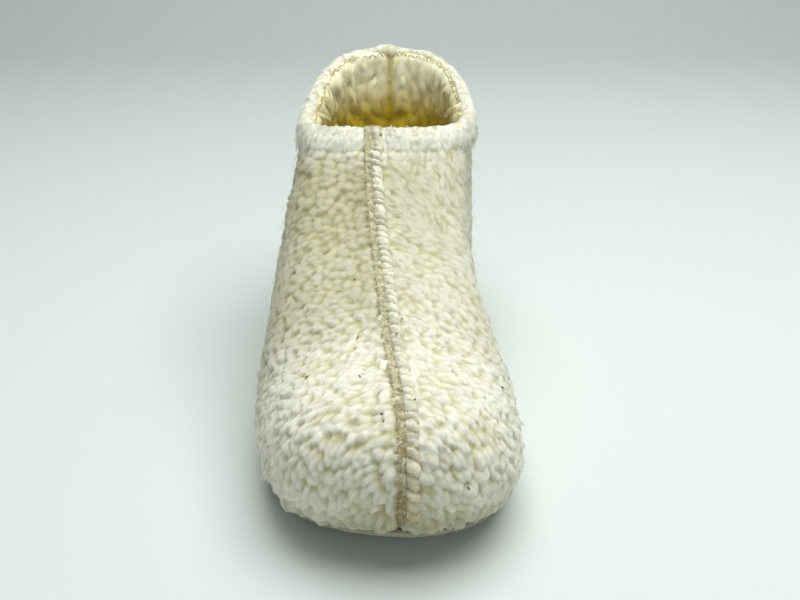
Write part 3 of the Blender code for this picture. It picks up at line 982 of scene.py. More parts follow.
def rim_heights(places, pick=np.max):
    """Height of the hem's top edge, or of its lowest, at each point's bearing round the shaft."""
    corners = np.array([corner.co for corner in hem_solid.verts])
    bearings = np.arctan2(corners[:, 0], corners[:, 1] - SHAFT_AXIS)
    stops = np.linspace(-math.pi, math.pi, RIM_STOPS)
    tops = []
    for stop in stops:
        apart = (bearings - stop + math.pi) % (2 * math.pi) - math.pi
        tops.append(pick(corners[np.abs(apart) < RIM_STOP_HALF, 2]))
    return np.interp(np.arctan2(places[:, 0], places[:, 1] - SHAFT_AXIS), stops, tops)


def painted_depth_shade_at(places):
    """Painted shade inside the boot: none at the rim, a deep golden shade far down, where less light comes
    in.
    """
    return 1 - smooth_step(places[:, 2], DEPTH_SHADE_BOTTOM, DEPTH_SHADE_TOP)


def raise_hem():
    """The hem with short locks combed down, ragged and overhanging at its lower edge."""
    places, normals, squares = even_mesh(hem_solid, HEM_SQUARE)
    inside = 1 - smooth_step(facing_out(places, normals), -0.7, 0.1)
    nap = swirl_at(places, 4.5) * 0.3
    nap[:, 2] -= 1.0
    nap[:, :2] += normals[:, :2] * 0.3
    size = blend(np.tile(HEM_LOCK, (len(places), 1)), HEM_INSIDE_LOCK, inside)
    clear = clear_of(places, FRONT_SEAM_NODES, 0.4 * MM, 3 * MM)
    size[:, 2] *= 0.2 + 0.8 * clear
    below_rim = rim_heights(places) - places[:, 2]
    height, lock_place, lock_shade = raise_locks(places, normals, nap, size, HEM_SEED)
    swell = noise_at(places, HEM_SWELL_SIZE) * 0.5 + 0.5
    swell = swell * HEM_SWELL * clear * (1 - inside * smooth_step(below_rim, MM, STITCH_DROP))
    swell += PEAK_RISE * np.exp(-((np.linalg.norm(places - PEAK_PLACE, axis=1) / PEAK_REACH) ** 2))
    tipness = np.clip(height / size[:, 2], 0, 1)
    stain_and_shade = inside * smooth_step(below_rim, 0, 4 * MM)
    low = (1 - inside) * (1 - smooth_step(places[:, 2] - rim_heights(places, np.min), MM, HEM_HANG_REACH))
    raised = places + normals * (height + swell + low * clear * HEM_OVERHANG)[:, None]
    ragged = noise_at(places, HEM_RAGGED_SIZE)
    raised[:, 2] -= low * (HEM_HANG * (0.5 + ragged) + height)
    return raised, squares, wool_attributes(lock_place, tipness, lock_shade, normals, stain_and_shade)


def nap_of_lining(places):
    """The way the long wool inside lies: down, in swirls."""
    nap = swirl_at(places, 8.5) * 0.8
    nap[:, 2] -= 0.7
    return nap


def wall_and_hem():
    """The wall and the hem in one bmesh, for the wool that covers both inside."""
    both = bmesh.new()
    for solid in (backing, hem_solid):
        half = bpy.data.meshes.new("half")
        solid.to_mesh(half)
        both.from_mesh(half)
    return both


def raise_lining():
    """The inside of the wall and of the hem with long locks, parted along the back seam."""
    both = wall_and_hem()
    places, normals, squares = even_mesh(both, CLOSING_SQUARE, LINING_SQUARE)
    both.free()
    facing = softened(facing_out(places, normals), squares, FACING_PASSES)
    inside = (facing < INSIDE_BELOW) & (rim_heights(places) - places[:, 2] > LINING_START)
    used, squares = only_squares(squares, inside)
    places = places[used]
    places = np.stack([softened(places[:, axis], squares, LINING_PASSES) for axis in range(3)], axis=1)
    places, normals = corner_arrays(mesh_of_squares("lining_guide", places, squares, []))
    nap = nap_of_lining(places)
    size = np.tile(LINING_LOCK, (len(places), 1))
    height, lock_place, lock_shade = raise_locks(places, normals, nap, size, LINING_SEED)
    height = softened(height, squares, 2)
    below_start = rim_heights(places) - places[:, 2] - LINING_START
    height = (height + LINING_BASE) * smooth_step(below_start, -LINING_FADE / 4, LINING_FADE)
    parting = np.exp(-(((places[:, 0] - PARTING_X) / PARTING_HALF) ** 2)) * (places[:, 1] > SHAFT_AXIS)
    height = height * (1 - 0.7 * parting)
    tipness = np.clip(height / LINING_LOCK[2], 0, 1)
    # Painted shade: golden and deeper further down the inside, with a darker line along the parting at the
    # back seam.
    stain_and_shade = np.clip(painted_depth_shade_at(places) + 0.3 * parting, 0, 1)
    raised = places + normals * height[:, None]
    return raised, squares, wool_attributes(lock_place, tipness, lock_shade, normals, stain_and_shade)


hem_piece = link_piece("fleece_hem", mesh_of_squares("fleece_hem", *raise_hem()))
put_on(hem_piece, hem_wool)
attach(hem_piece, "root")
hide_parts("collar_hem")
lining_piece = link_piece("wool_lining", mesh_of_squares("wool_lining", *raise_lining()))
put_on(lining_piece, lining_wool)
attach(lining_piece, "root")
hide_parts("upper")
for piece in (hem_piece, lining_piece):
    print(piece.name + ":", triangle_count(piece.data), "triangles")

# %% [markdown]
# ## One lock of wool
# A lock is a bundle of strands that leave the skin side by side, rise, bend over and close up
# towards one tip along the nap. Threads are tubes of few faces round a bent spine. Fine fibres
# are flat strips with two sides, because a thin tube shows a dark side that real fibres, which
# let light through, do not have. Locks are drawn in millimetres: they lie along +Y, with +Z off
# the skin.

# %% Lock shapes
ROOT_DEPTH = -0.8
OVER_BEND = 0.70
ROOT_SHIFT = 0.3


def strand_spine(strand):
    """Spine of a strand: out of the skin, over and down along +Y, in millimetres."""
    spine = []
    for ring in range(strand["rings"] + 1):
        share = ring / strand["rings"]
        sideways = strand["start"] + (strand["end"] - strand["start"]) * share
        sideways += strand["wave"] * math.sin(strand["phase"] + 5.0 * share) * share
        rise = math.sin(math.pi * (OVER_BEND * share + 0.06))
        height = ROOT_DEPTH + (strand["lift"] - ROOT_DEPTH) * rise
        spine.append(Vector((sideways, strand["length"] * (share ** 1.1 - ROOT_SHIFT), height)))
    return spine


def girth_at(share):
    """Width of a strand from root to tip, as a share of its widest."""
    swell = 0.60 + 0.40 * math.sin(math.pi * min(share * 1.1, 1.0))
    return swell * (1 - share ** 6) ** 0.5


def add_strand(shape, place, along, strand, offset):
    """Adds a tube, or a flat strip if it has two sides, with the attributes that its wool reads."""
    spine = strand_spine(strand)
    sides = strand["sides"]
    rings = []
    for ring, centre in enumerate(spine[:-1]):
        share = ring / strand["rings"]
        forward = (spine[ring + 1] - centre).normalized()
        across = forward.cross(Vector((0, 0, 1))).normalized()
        up = across.cross(forward)
        corners = []
        for side in range(sides):
            turn = 2 * math.pi * side / sides
            wide = math.cos(turn) * strand["width"] / 2 * girth_at(share)
            deep = math.sin(turn) * strand["depth"] / 2 * girth_at(share)
            corner = shape.verts.new((centre + across * wide + up * deep) * MM)
            corner[place] = Vector((wide, share * strand["length"], deep)) + offset
            corner[along] = share
            corners.append(corner)
        rings.append(corners)
    tip = shape.verts.new(spine[-1] * MM)
    tip[place] = Vector((0, strand["length"], 0)) + offset
    tip[along] = 1.0
    walls = range(sides) if sides > 2 else range(1)
    for ring, following in zip(rings, rings[1:]):
        for side in walls:
            shape.faces.new((ring[side - 1], ring[side], following[side], following[side - 1]))
    for side in walls:
        shape.faces.new((rings[-1][side - 1], rings[-1][side], tip))
    if sides > 2:
        shape.faces.new(list(reversed(rings[0])))


def make_lock(name, strands):
    """An object of these strands, which no collection of the scene shows by itself."""
    shape = bmesh.new()
    place = shape.verts.layers.float_vector.new("lock_place")
    along = shape.verts.layers.float.new("lock_along")
    for index, strand in enumerate(strands):
        add_strand(shape, place, along, strand, Vector((7.0 * index, 0, 3.0 * index)))
    bmesh.ops.recalc_face_normals(shape, faces=shape.faces)
    mesh = bpy.data.meshes.new(name)
    shape.to_mesh(mesh)
    shape.free()
    mesh.shade_smooth()
    return bpy.data.objects.new(name, mesh)


def tuft_strands(chance, size):
    """Strands that leave the skin side by side and close up towards one tip."""
    bend = chance.uniform(-0.4, 0.4) * size["width"]
    strands = []
    for number in range(size["strands"]):
        lane = (number + 0.5) / size["strands"] * 2 - 1 + chance.uniform(-0.12, 0.12)
        crown = 1 - 0.45 * lane * lane
        strands.append({
            "rings": size["rings"], "sides": size["sides"],
            "length": size["length"] * chance.uniform(0.8, 1.15) * (0.8 + 0.2 * crown),
            "width": size["strand_width"] * chance.uniform(0.8, 1.2),
            "depth": size["strand_width"] * chance.uniform(0.8, 1.2),
            "lift": size["lift"] * crown * chance.uniform(0.8, 1.2),
            "start": lane * size["width"] / 2,
            "end": bend + lane * size["width"] / 2 * size["closing"],
            "wave": size["wave"] * chance.uniform(-1, 1),
            "phase": chance.uniform(0, 6.28),
        })
    return strands


def lock_family(name, count, seed, **size):
    """A collection of locks of one kind of wool that differ by chance."""
    chance = random.Random(seed)
    family = bpy.data.collections.new(name)
    for index in range(count):
        family.objects.link(make_lock(f"{name}_{index}", tuft_strands(chance, size)))
    faces = [len(lock.data.polygons) for lock in family.objects]
    print(name, "faces in each lock:", faces)
    return family


fleece_fibres = lock_family("fleece_fibre", 6, 11, strands=4, rings=3, sides=2, length=5.0, width=2.2,
                            strand_width=0.22, lift=0.6, closing=0.7, wave=0.5)
lining_fibres = lock_family("lining_fibre", 6, 13, strands=5, rings=4, sides=2, length=9.0, width=3.4,
                            strand_width=0.42, lift=1.3, closing=0.7, wave=1.2)
stray_hairs = lock_family("stray_hair", 5, 14, strands=1, rings=4, sides=3, length=7.0, width=1.5,
                          strand_width=0.12, lift=4.5, closing=1.0, wave=1.6)
tape_fuzz = lock_family("tape_fuzz", 4, 15, strands=3, rings=3, sides=2, length=3.2, width=2.0,
                        strand_width=0.30, lift=1.0, closing=1.0, wave=0.8)
threads = lock_family("thread", 3, 17, strands=1, rings=4, sides=5, length=2.8, width=0.2,
                      strand_width=0.55, lift=0.5, closing=1.0, wave=0.15)
burrs = lock_family("burr", 3, 18, strands=1, rings=3, sides=4, length=0.9, width=0.2,
                    strand_width=0.6, lift=0.4, closing=1.0, wave=0.1)

# %% [markdown]
# ## Growing locks with Geometry Nodes
# The tree scatters points on a skin with a smallest spacing, turns each point so that Z leaves
# the skin and Y follows the nap, puts a random lock there, and gives it a shade of its own. It
# ends in Realize Instances and Set Material, so that the result is a plain mesh. A second tree
# does the same on points that we place ourselves, for stitches in a row.

# %% The lock trees
ROW_INPUTS = [
    ("Geometry", "NodeSocketGeometry"),
    ("Stir", "NodeSocketVector"),
    ("Least Size", "NodeSocketVector"),
    ("Greatest Size", "NodeSocketVector"),
    ("Shapes", "NodeSocketCollection"),
    ("Finish", "NodeSocketMaterial"),
]
SCATTER_INPUTS = [
    *ROW_INPUTS,
    ("Spacing", "NodeSocketFloat"),
    ("Most", "NodeSocketFloat"),
    ("Seed", "NodeSocketInt"),
]


def named_attribute(tree, name, kind):
    made = node(tree, "GeometryNodeInputNamedAttribute", {"data_type": kind}, {"Name": name})
    return made.outputs["Attribute"]


def plant_shapes(tree, given, points):
    """Nodes that put a random shape on every point, turned by its attributes, as a plain mesh."""
    laid = node(tree, "FunctionNodeAxesToRotation", {"primary_axis": "Z", "secondary_axis": "Y"},
                {"Primary Axis": named_attribute(tree, "lift_off", "FLOAT_VECTOR"),
                 "Secondary Axis": named_attribute(tree, "nap", "FLOAT_VECTOR")})
    away = node(tree, "ShaderNodeVectorMath", {"operation": "SCALE"}, {0: given["Stir"], "Scale": -1.0})
    stir = node(tree, "FunctionNodeRandomValue", {"data_type": "FLOAT_VECTOR"},
                {"Min": away.outputs[0], "Max": given["Stir"], "Seed": 3})
    stirred = node(tree, "FunctionNodeRotateRotation", {"rotation_space": "LOCAL"},
                   {"Rotation": laid.outputs[0], "Rotate By": stir.outputs["Value"]})
    size = node(tree, "FunctionNodeRandomValue", {"data_type": "FLOAT_VECTOR"},
                {"Min": given["Least Size"], "Max": given["Greatest Size"], "Seed": 5})
    sized = node(tree, "ShaderNodeVectorMath", {"operation": "SCALE"},
                 {0: size.outputs["Value"], "Scale": named_attribute(tree, "lock_size", "FLOAT")})
    shapes = node(tree, "GeometryNodeCollectionInfo", None,
                  {"Collection": given["Shapes"], "Separate Children": True, "Reset Children": True})
    planted = node(tree, "GeometryNodeInstanceOnPoints", None,
                   {"Points": points, "Instance": shapes.outputs[0], "Pick Instance": True,
                    "Rotation": stirred.outputs[0], "Scale": sized.outputs[0]})
    shade = node(tree, "FunctionNodeRandomValue", {"data_type": "FLOAT"}, {"Seed": 7})
    shaded = node(tree, "GeometryNodeStoreNamedAttribute", {"data_type": "FLOAT", "domain": "INSTANCE"},
                  {"Geometry": planted.outputs[0], "Name": "lock_shade", "Value": shade.outputs[1]})
    plain = node(tree, "GeometryNodeRealizeInstances", None, {"Geometry": shaded.outputs[0]})
    dressed = node(tree, "GeometryNodeSetMaterial", None,
                   {"Geometry": plain.outputs[0], "Material": given["Finish"]})
    node(tree, "NodeGroupOutput", None, {"Geometry": dressed.outputs[0]})


def start_tree(name, inputs):
    tree = bpy.data.node_groups.new(name, "GeometryNodeTree")
    for label, kind in inputs:
        tree.interface.new_socket(label, in_out="INPUT", socket_type=kind)
    tree.interface.new_socket("Geometry", in_out="OUTPUT", socket_type="NodeSocketGeometry")
    return tree, tree.nodes.new("NodeGroupInput").outputs


def build_lock_tree():
    tree, given = start_tree("grow_locks", SCATTER_INPUTS)
    scatter = node(tree, "GeometryNodeDistributePointsOnFaces", {"distribute_method": "POISSON"},
                   {"Mesh": given["Geometry"], "Distance Min": given["Spacing"],
                    "Density Max": given["Most"], "Seed": given["Seed"],
                    "Density Factor": named_attribute(tree, "lock_density", "FLOAT")})
    plant_shapes(tree, given, scatter.outputs["Points"])
    return tree


def build_stitch_tree():
    tree, given = start_tree("sew_row", ROW_INPUTS)
    points = node(tree, "GeometryNodeMeshToPoints", None, {"Mesh": given["Geometry"]})
    plant_shapes(tree, given, points.outputs["Points"])
    return tree


def grown(name, guide_mesh, tree, values):
    """Runs a tree on a guide mesh and returns the result as a plain mesh object."""
    guide = link_piece(name + "_guide", guide_mesh)
    modifier = guide.modifiers.new("grow", "NODES")
    modifier.node_group = tree
    for socket in tree.interface.items_tree:
        if socket.in_out == "INPUT" and socket.name in values:
            modifier[socket.identifier] = values[socket.name]
    evaluated = guide.evaluated_get(bpy.context.evaluated_depsgraph_get())
    mesh = bpy.data.meshes.new_from_object(evaluated)
    mesh.name = name
    bpy.data.objects.remove(guide)
    piece = link_piece(name, mesh)
    print(name + ":", triangle_count(mesh), "triangles")
    return piece


lock_tree = build_lock_tree()
stitch_tree = build_stitch_tree()
print("trees:", len(lock_tree.nodes), "and", len(stitch_tree.nodes), "nodes")

# %% [markdown]
# ## Loose fibres
# A relief alone looks carved. Fine fibres that lie over the locks blur their edges. The tree
# scatters them on the raised panels, the hem and the lining. Near the floor there are none,
# because a fibre that hangs down would reach through it.

# %% Loose fibres
FIBRE_REACH = 5.5 * MM


def fibre_skin(piece):
    """A copy of a panel's mesh with the attributes that the lock tree reads."""
    skin = piece.data.copy()
    places, normals = corner_arrays(skin)
    density = clear_of(places, SEAM_NODES, 0.1 * MM, 0.8 * MM)
    density *= smooth_step(places[:, 2] - sole_height(places), FIBRE_REACH, FIBRE_REACH + 6 * MM)
    density *= 1 - 0.5 * smooth_step(-places[:, 1], 60 * MM, 110 * MM)
    write_nap(skin, nap_of_fleece(places), normals, np.full(len(places), 1.0), density)
    return skin


for index, name in enumerate(PANELS):
    fibres = grown(name + "_fibres", fibre_skin(bpy.data.objects[name]), lock_tree, {
        "Spacing": 7.5 * MM,
        "Most": 600000.0,
        "Stir": (0.25, 0.3, 0.6),
        "Least Size": (0.7, 0.75, 0.7),
        "Greatest Size": (1.2, 1.3, 1.3),
        "Shapes": fleece_fibres,
        "Finish": fibre_wool,
        "Seed": 20 + index,
    })
    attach(fibres, "root")

LINING_DEEPEST = -30 * MM
WISP_PLACE = np.array((-4, 30, 0)) * MM
WISP_REACH = 9 * MM


def lining_skin():
    """The raised lining with the attributes that the lock tree reads."""
    skin = lining_piece.data.copy()
    places, normals = corner_arrays(skin)
    density = smooth_step(places[:, 1], LINING_DEEPEST, LINING_DEEPEST + 30 * MM)
    density *= smooth_step(places[:, 2], 12 * MM, 18 * MM)
    density *= smooth_step(rim_heights(places) - places[:, 2], STITCH_DROP, STITCH_DROP + 3 * MM)
    write_nap(skin, nap_of_lining(places), normals, np.full(len(places), 1.0), density)
    return skin


def hem_fibre_skin():
    """The raised hem with the attributes that the lock tree reads."""
    skin = hem_piece.data.copy()
    places, normals = corner_arrays(skin)
    nap = swirl_at(places, 4.5) * 0.4
    nap[:, 2] -= 1.0
    nap[:, :2] += normals[:, :2] * 0.5
    density = clear_of(places, FRONT_SEAM_NODES, 0.4 * MM, 1.5 * MM)
    below_rim = rim_heights(places) - places[:, 2]
    low = smooth_step(below_rim, 5 * MM, 10 * MM)
    from_wisp = np.linalg.norm((places - WISP_PLACE)[:, :2], axis=1)
    wisp = np.exp(-((from_wisp / WISP_REACH) ** 2)) * (below_rim < 3 * MM)
    nap[:, 2] += 2.2 * wisp
    write_nap(skin, nap, normals, 0.7 + 0.7 * low + 0.5 * wisp, density * (0.4 + 0.6 * low))
    return skin


hem_fibres = grown("hem_fibres", hem_fibre_skin(), lock_tree, {
    "Spacing": 1.3 * MM,
    "Most": 900000.0,
    "Stir": (0.3, 0.3, 0.7),
    "Least Size": (0.7, 0.7, 0.7),
    "Greatest Size": (1.2, 1.3, 1.5),
    "Shapes": fleece_fibres,
    "Finish": hem_wool,
    "Seed": 33,
})
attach(hem_fibres, "root")

lining_hair = grown("lining_fibres", lining_skin(), lock_tree, {
    "Spacing": 6.0 * MM,
    "Most": 300000.0,
    "Stir": (0.3, 0.3, 0.8),
    "Least Size": (0.75, 0.7, 0.6),
    "Greatest Size": (1.3, 1.25, 1.2),
    "Shapes": lining_fibres,
    "Finish": lining_wool,
    "Seed": LINING_SEED,
})
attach(lining_hair, "root")

# %% [markdown]
# ## The insole
# The footbed is cut from sheepskin too, wool side up. The same long locks are raised on its
# upper face, and this relief stands for the plain solid.

# %% Insole pile
INSOLE_SEED = 51
INSOLE_UPPER = (0.2, 0.8)
insole_solid = merged_copy("insole")


def raise_insole():
    """The footbed with long locks lying on its upper face."""
    places, normals, squares = even_mesh(insole_solid, LINING_SQUARE)
    nap = swirl_at(places, 12.5)
    nap[:, 1] -= 0.5
    size = np.tile(LINING_LOCK, (len(places), 1))
    height, lock_place, lock_shade = raise_locks(places, normals, nap, size, INSOLE_SEED)
    height = softened(height, squares, 2) * smooth_step(normals[:, 2], *INSOLE_UPPER)
    tipness = np.clip(height / LINING_LOCK[2], 0, 1)
    raised = places + normals * height[:, None]
    # The footbed lies deepest, so it takes the full golden painted shade.
    return raised, squares, wool_attributes(lock_place, tipness, lock_shade, normals, painted_depth_shade_at(places))


insole_pile = link_piece("insole_pile", mesh_of_squares("insole_pile", *raise_insole()))
put_on(insole_pile, lining_wool)
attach(insole_pile, "root")
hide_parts("insole")
print("insole_pile:", triangle_count(insole_pile.data), "triangles")

# %% [markdown]
# ## The front and back seams
# The panels are joined edge to edge and overlocked. One edge lies flat as a beige, fuzzy band:
# its solid stays, with short fuzz on it. The other edge is pinched by a slanting stitch every
# 3.3 mm at the rim and every 4.8 mm at the toe, and puffs out between them. So that strip is a
# relief too: the place along the seam, counted in stitches, tells how far each corner puffs out.

# %% Seams
RIM_PITCH = 3.3 * MM
TOE_PITCH = 4.8 * MM
BACK_PITCH = 4.3 * MM
SEAM_DIRT = 1.5
COIL_SQUARE = 0.5 * MM
COIL_RISE = 1.35 * MM
COIL_SINK = 0.5 * MM
COIL_SLANT = 0.45
COIL_SHIFT = 1.5 * MM
COIL_GRAIN = 0.6 * MM
COIL_GRAIN_SIZE = 1.5 * MM
STITCH_CHANCE = 0.26
PLUMP = (0.35, 1.25)
PUFF_POWER = 2.2


def along_line(line, first_pitch, last_pitch):
    """Reach of each point along a line, and stops at a pitch that changes from end to end."""
    steps = np.linalg.norm(np.diff(line, axis=0), axis=1)
    reach = np.concatenate([[0], np.cumsum(steps)])
    stops = [0.0]
    while stops[-1] < reach[-1]:
        stops.append(stops[-1] + first_pitch + (last_pitch - first_pitch) * stops[-1] / reach[-1])
    return reach, np.array(stops)


def row_guide(points, along, out, size):
    """A mesh of loose points that a row of stitches is sewn on."""
    guide = bpy.data.meshes.new("row_guide")
    guide.from_pydata([tuple(point) for point in points], [], [])
    write_attribute(guide, "nap", "FLOAT_VECTOR", along)
    write_attribute(guide, "lift_off", "FLOAT_VECTOR", out)
    write_attribute(guide, "lock_size", "FLOAT", size)
    return guide


def outward_at(points):
    """The upper's own outward direction beside each point."""
    return np.array([outer_tree.find_nearest(Vector(point))[1] for point in points])


def unit(vectors):
    return vectors / np.linalg.norm(vectors, axis=1)[:, None]


def seam_dirt(places):
    """Dirt that the seam picks up, most of it at the toe."""
    return np.clip(toe_dirt(places) * SEAM_DIRT + 0.1, 0, 1)


def raise_coil(solid_name, pole, pitches, seed):
    """An overlocked edge: the solid's own form, puffed out between its stitches."""
    solid = merged_copy(solid_name)
    places, normals, squares = even_mesh(solid, COIL_SQUARE)
    solid.free()
    line = seam_line(solid_name, pole, 120)
    reach, stops = along_line(line, *pitches)
    forward = unit(np.gradient(line, axis=0))
    across = np.cross(forward, outward_at(line))
    across = unit(across * np.sign(across[:, 0])[:, None])
    lookup = lookup_of(line)
    near = np.array([lookup.find(place)[1] for place in places])
    outward = outward_at(line)[near]
    offset = places - line[near]
    sideways = (offset * across[near]).sum(1)
    place_along = reach[near] + (offset * forward[near]).sum(1) + COIL_SLANT * sideways
    chance = np.random.default_rng(seed)
    stops = np.sort(stops + chance.uniform(-STITCH_CHANCE, STITCH_CHANCE, len(stops)) * pitches[1])
    stitch = np.interp(place_along, stops, np.arange(len(stops)))
    number = np.floor(stitch).astype(int)
    puff = 1 - np.abs(2 * (stitch - number) - 1) ** PUFF_POWER
    plump = chance.uniform(*PLUMP, len(stops) + 1)[number]
    grain = noise_at(places, COIL_GRAIN_SIZE)
    rise = COIL_RISE * puff * plump - COIL_SINK + COIL_GRAIN * grain
    lifted = unit(outward * 0.75 + normals * 0.25)
    raised = places + lifted * rise[:, None]
    lock_place = np.stack([place_along, sideways, sideways * 0], axis=1) / MM
    attributes = [
        ("lock_place", "FLOAT_VECTOR", lock_place),
        # The pinches between puffs take the darker root colour, as painted shade in those hollows.
        ("lock_along", "FLOAT", puff),
        ("lock_shade", "FLOAT", chance.uniform(0, 1, len(stops) + 1)[number]),
        ("stain_and_shade", "FLOAT", seam_dirt(places)),
    ]
    return raised - across[near] * COIL_SHIFT, squares, attributes


def sew_coil(name, solid_name, pole, pitches, seed):
    """A puffed edge with loose fibres on it, in place of a seam solid."""
    coil = link_piece(name, mesh_of_squares(name, *raise_coil(solid_name, pole, pitches, seed)))
    put_on(coil, yarn_wool)
    print(name + ":", triangle_count(coil.data), "triangles")
    skin = coil.data.copy()
    places, normals = corner_arrays(skin)
    write_nap(skin, swirl_at(places * 2, 9.5), normals, np.full(len(places), 0.55), np.full(len(places), 1.0))
    fuzz = grown(name + "_fibres", skin, lock_tree, {
        "Spacing": 1.4 * MM,
        "Most": 900000.0,
        "Stir": (0.3, 0.3, 1.2),
        "Least Size": (0.7, 0.7, 0.7),
        "Greatest Size": (1.2, 1.2, 1.3),
        "Shapes": fleece_fibres,
        "Finish": fibre_wool,
        "Seed": seed,
    })
    for piece in (coil, fuzz):
        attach(piece, "root")
    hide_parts(solid_name)


def speckled_material():
    """Worn cloth of the flat band: speckled, and browner towards the toe, where it picks up dirt."""
    material = bpy.data.materials.new("speckled_tape")
    material.use_nodes = True
    tree = material.node_tree
    shader = tree.nodes["Principled BSDF"]
    place = node(tree, "ShaderNodeTexCoord").outputs["Object"]
    specks = node(tree, "ShaderNodeTexNoise", None,
                  {"Vector": place, "Scale": 850.0, "Detail": 3.0, "Roughness": 0.7})
    pale = node(tree, "ShaderNodeMapRange", None,
                {"Value": specks.outputs["Fac"], "From Min": 0.38, "From Max": 0.62})
    cloth = node(tree, "ShaderNodeMix", {"data_type": "RGBA"},
                 {0: pale.outputs[0], 6: (0.48, 0.44, 0.27, 1), 7: (0.72, 0.69, 0.50, 1)})
    along = node(tree, "ShaderNodeSeparateXYZ", None, {0: place})
    dirty = node(tree, "ShaderNodeMapRange", None,
                 {"Value": along.outputs["Y"], "From Min": -85 * MM, "From Max": -120 * MM})
    soiled = node(tree, "ShaderNodeMix", {"data_type": "RGBA", "blend_type": "MULTIPLY"},
                  {0: dirty.outputs[0], 6: cloth.outputs[2], 7: (0.74, 0.66, 0.52, 1)})
    relief = node(tree, "ShaderNodeBump", None,
                  {"Strength": 0.6, "Distance": 0.5 * MM, "Height": specks.outputs["Fac"]})
    tree.links.new(soiled.outputs[2], shader.inputs["Base Color"])
    tree.links.new(relief.outputs["Normal"], shader.inputs["Normal"])
    shader.inputs["Roughness"].default_value = 0.95
    shader.inputs["Specular IOR Level"].default_value = 0.1
    return material


sew_coil("front_seam_coil", "front_seam_overlock", SEAM_POLE, (TOE_PITCH, RIM_PITCH), 62)
sew_coil("back_seam_coil", "back_seam", BACK_POLE, (BACK_PITCH, BACK_PITCH), 63)

tape_solid = merged_copy("front_seam_tape")
tape_skin = skin_of(tape_solid, faces_out)
tape_places, tape_normals = corner_arrays(tape_skin)
write_nap(tape_skin, swirl_at(tape_places * 3, 2.5), tape_normals, np.full(len(tape_places), 1.0),
          np.full(len(tape_places), 1.0))
write_attribute(tape_skin, "stain_and_shade", "FLOAT", seam_dirt(tape_places))
tape_nap = grown("front_tape_fuzz", tape_skin, lock_tree, {
    "Spacing": 1.05 * MM,
    "Most": 3000000.0,
    "Stir": (0.3, 0.3, 3.1),
    "Least Size": (0.7, 0.7, 0.7),
    "Greatest Size": (1.2, 1.2, 1.3),
    "Shapes": tape_fuzz,
    "Finish": tape_wool,
    "Seed": 61,
})
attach(tape_nap, "root")
put_on(frame["nodes"]["front_seam_tape"], speckled_material())
tape_solid.free()

# %% [markdown]
# ## The stitched ring inside the collar
# The turned edge is held by a zigzag of tan thread, two millimetres under the rim. Rays from
# the middle of the shaft find where the inside of the hem is, and the row tree lays a short
# thread at each step, tilted up and down in turn.

# %% Zigzag thread
RING_STEPS = 240
RING_PITCH = 2.1 * MM
RING_RISE = 0.4 * MM
RING_PASSES = 6
ZIGZAG = 0.6
thread_material = wool_material("tan_thread", (0.50, 0.42, 0.18), (0.60, 0.51, 0.25), streaks=5.0)


def wool_tree(piece):
    """A lookup for rays that hit this piece."""
    mesh = piece.data
    return BVHTree.FromPolygons([corner.co for corner in mesh.vertices],
                                [face.vertices for face in mesh.polygons])


def ring_inside(drop):
    """Points round the inside of the collar, this far under its rim."""
    wool_trees = [wool_tree(hem_piece), wool_tree(lining_piece)]
    ring = []
    for bearing in np.linspace(-math.pi, math.pi, RING_STEPS):
        way = Vector((math.sin(bearing), math.cos(bearing), 0))
        middle = Vector((0, SHAFT_AXIS, 0))
        middle.z = rim_heights(np.array([middle + way * MM]))[0] - drop
        hits = [tree.ray_cast(middle, way) for tree in wool_trees]
        hits = [hit for hit in hits if hit[0]]
        if hits:
            ring.append(min(hits, key=lambda hit: hit[3])[0])
    ring = np.array(ring)
    for _ in range(RING_PASSES):
        ring = (np.roll(ring, 1, axis=0) + ring * 2 + np.roll(ring, -1, axis=0)) / 4
    return ring


ring = ring_inside(STITCH_DROP)
ring_reach, ring_stops = along_line(ring, RING_PITCH, RING_PITCH)
ring_points = np.stack([np.interp(ring_stops, ring_reach, ring[:, axis]) for axis in range(3)], axis=1)
ring_along = unit(np.gradient(ring_points, axis=0))
ring_along[:, 2] += ZIGZAG * (-1) ** np.arange(len(ring_points))
ring_out = np.array((0, SHAFT_AXIS, 0)) - ring_points
ring_out[:, 2] = 0
ring_out = unit(ring_out)
ring_points = ring_points + ring_out * RING_RISE
ring_guide = row_guide(ring_points, ring_along, ring_out, np.full(len(ring_points), 1.0))
zigzag = grown("zigzag_thread", ring_guide, stitch_tree, {
    "Stir": (0.1, 0.1, 0.15),
    "Least Size": (0.9, 0.9, 0.9),
    "Greatest Size": (1.1, 1.1, 1.1),
    "Shapes": threads,
    "Finish": thread_material,
})
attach(zigzag, "root")

# %% [markdown]
# ## The sole
# The sole is a thin sheet of pale leather, cut to shape and sewn on. Its solid stays as it is and
# only gets a finish: cloudy colour, as worn leather has, and a fine grain. Its colours are much
# darker than pale leather, as painted shade: the sole shows only in the shadow under the toe.
# The finish reads Object coordinates, so it needs no unwrapping.

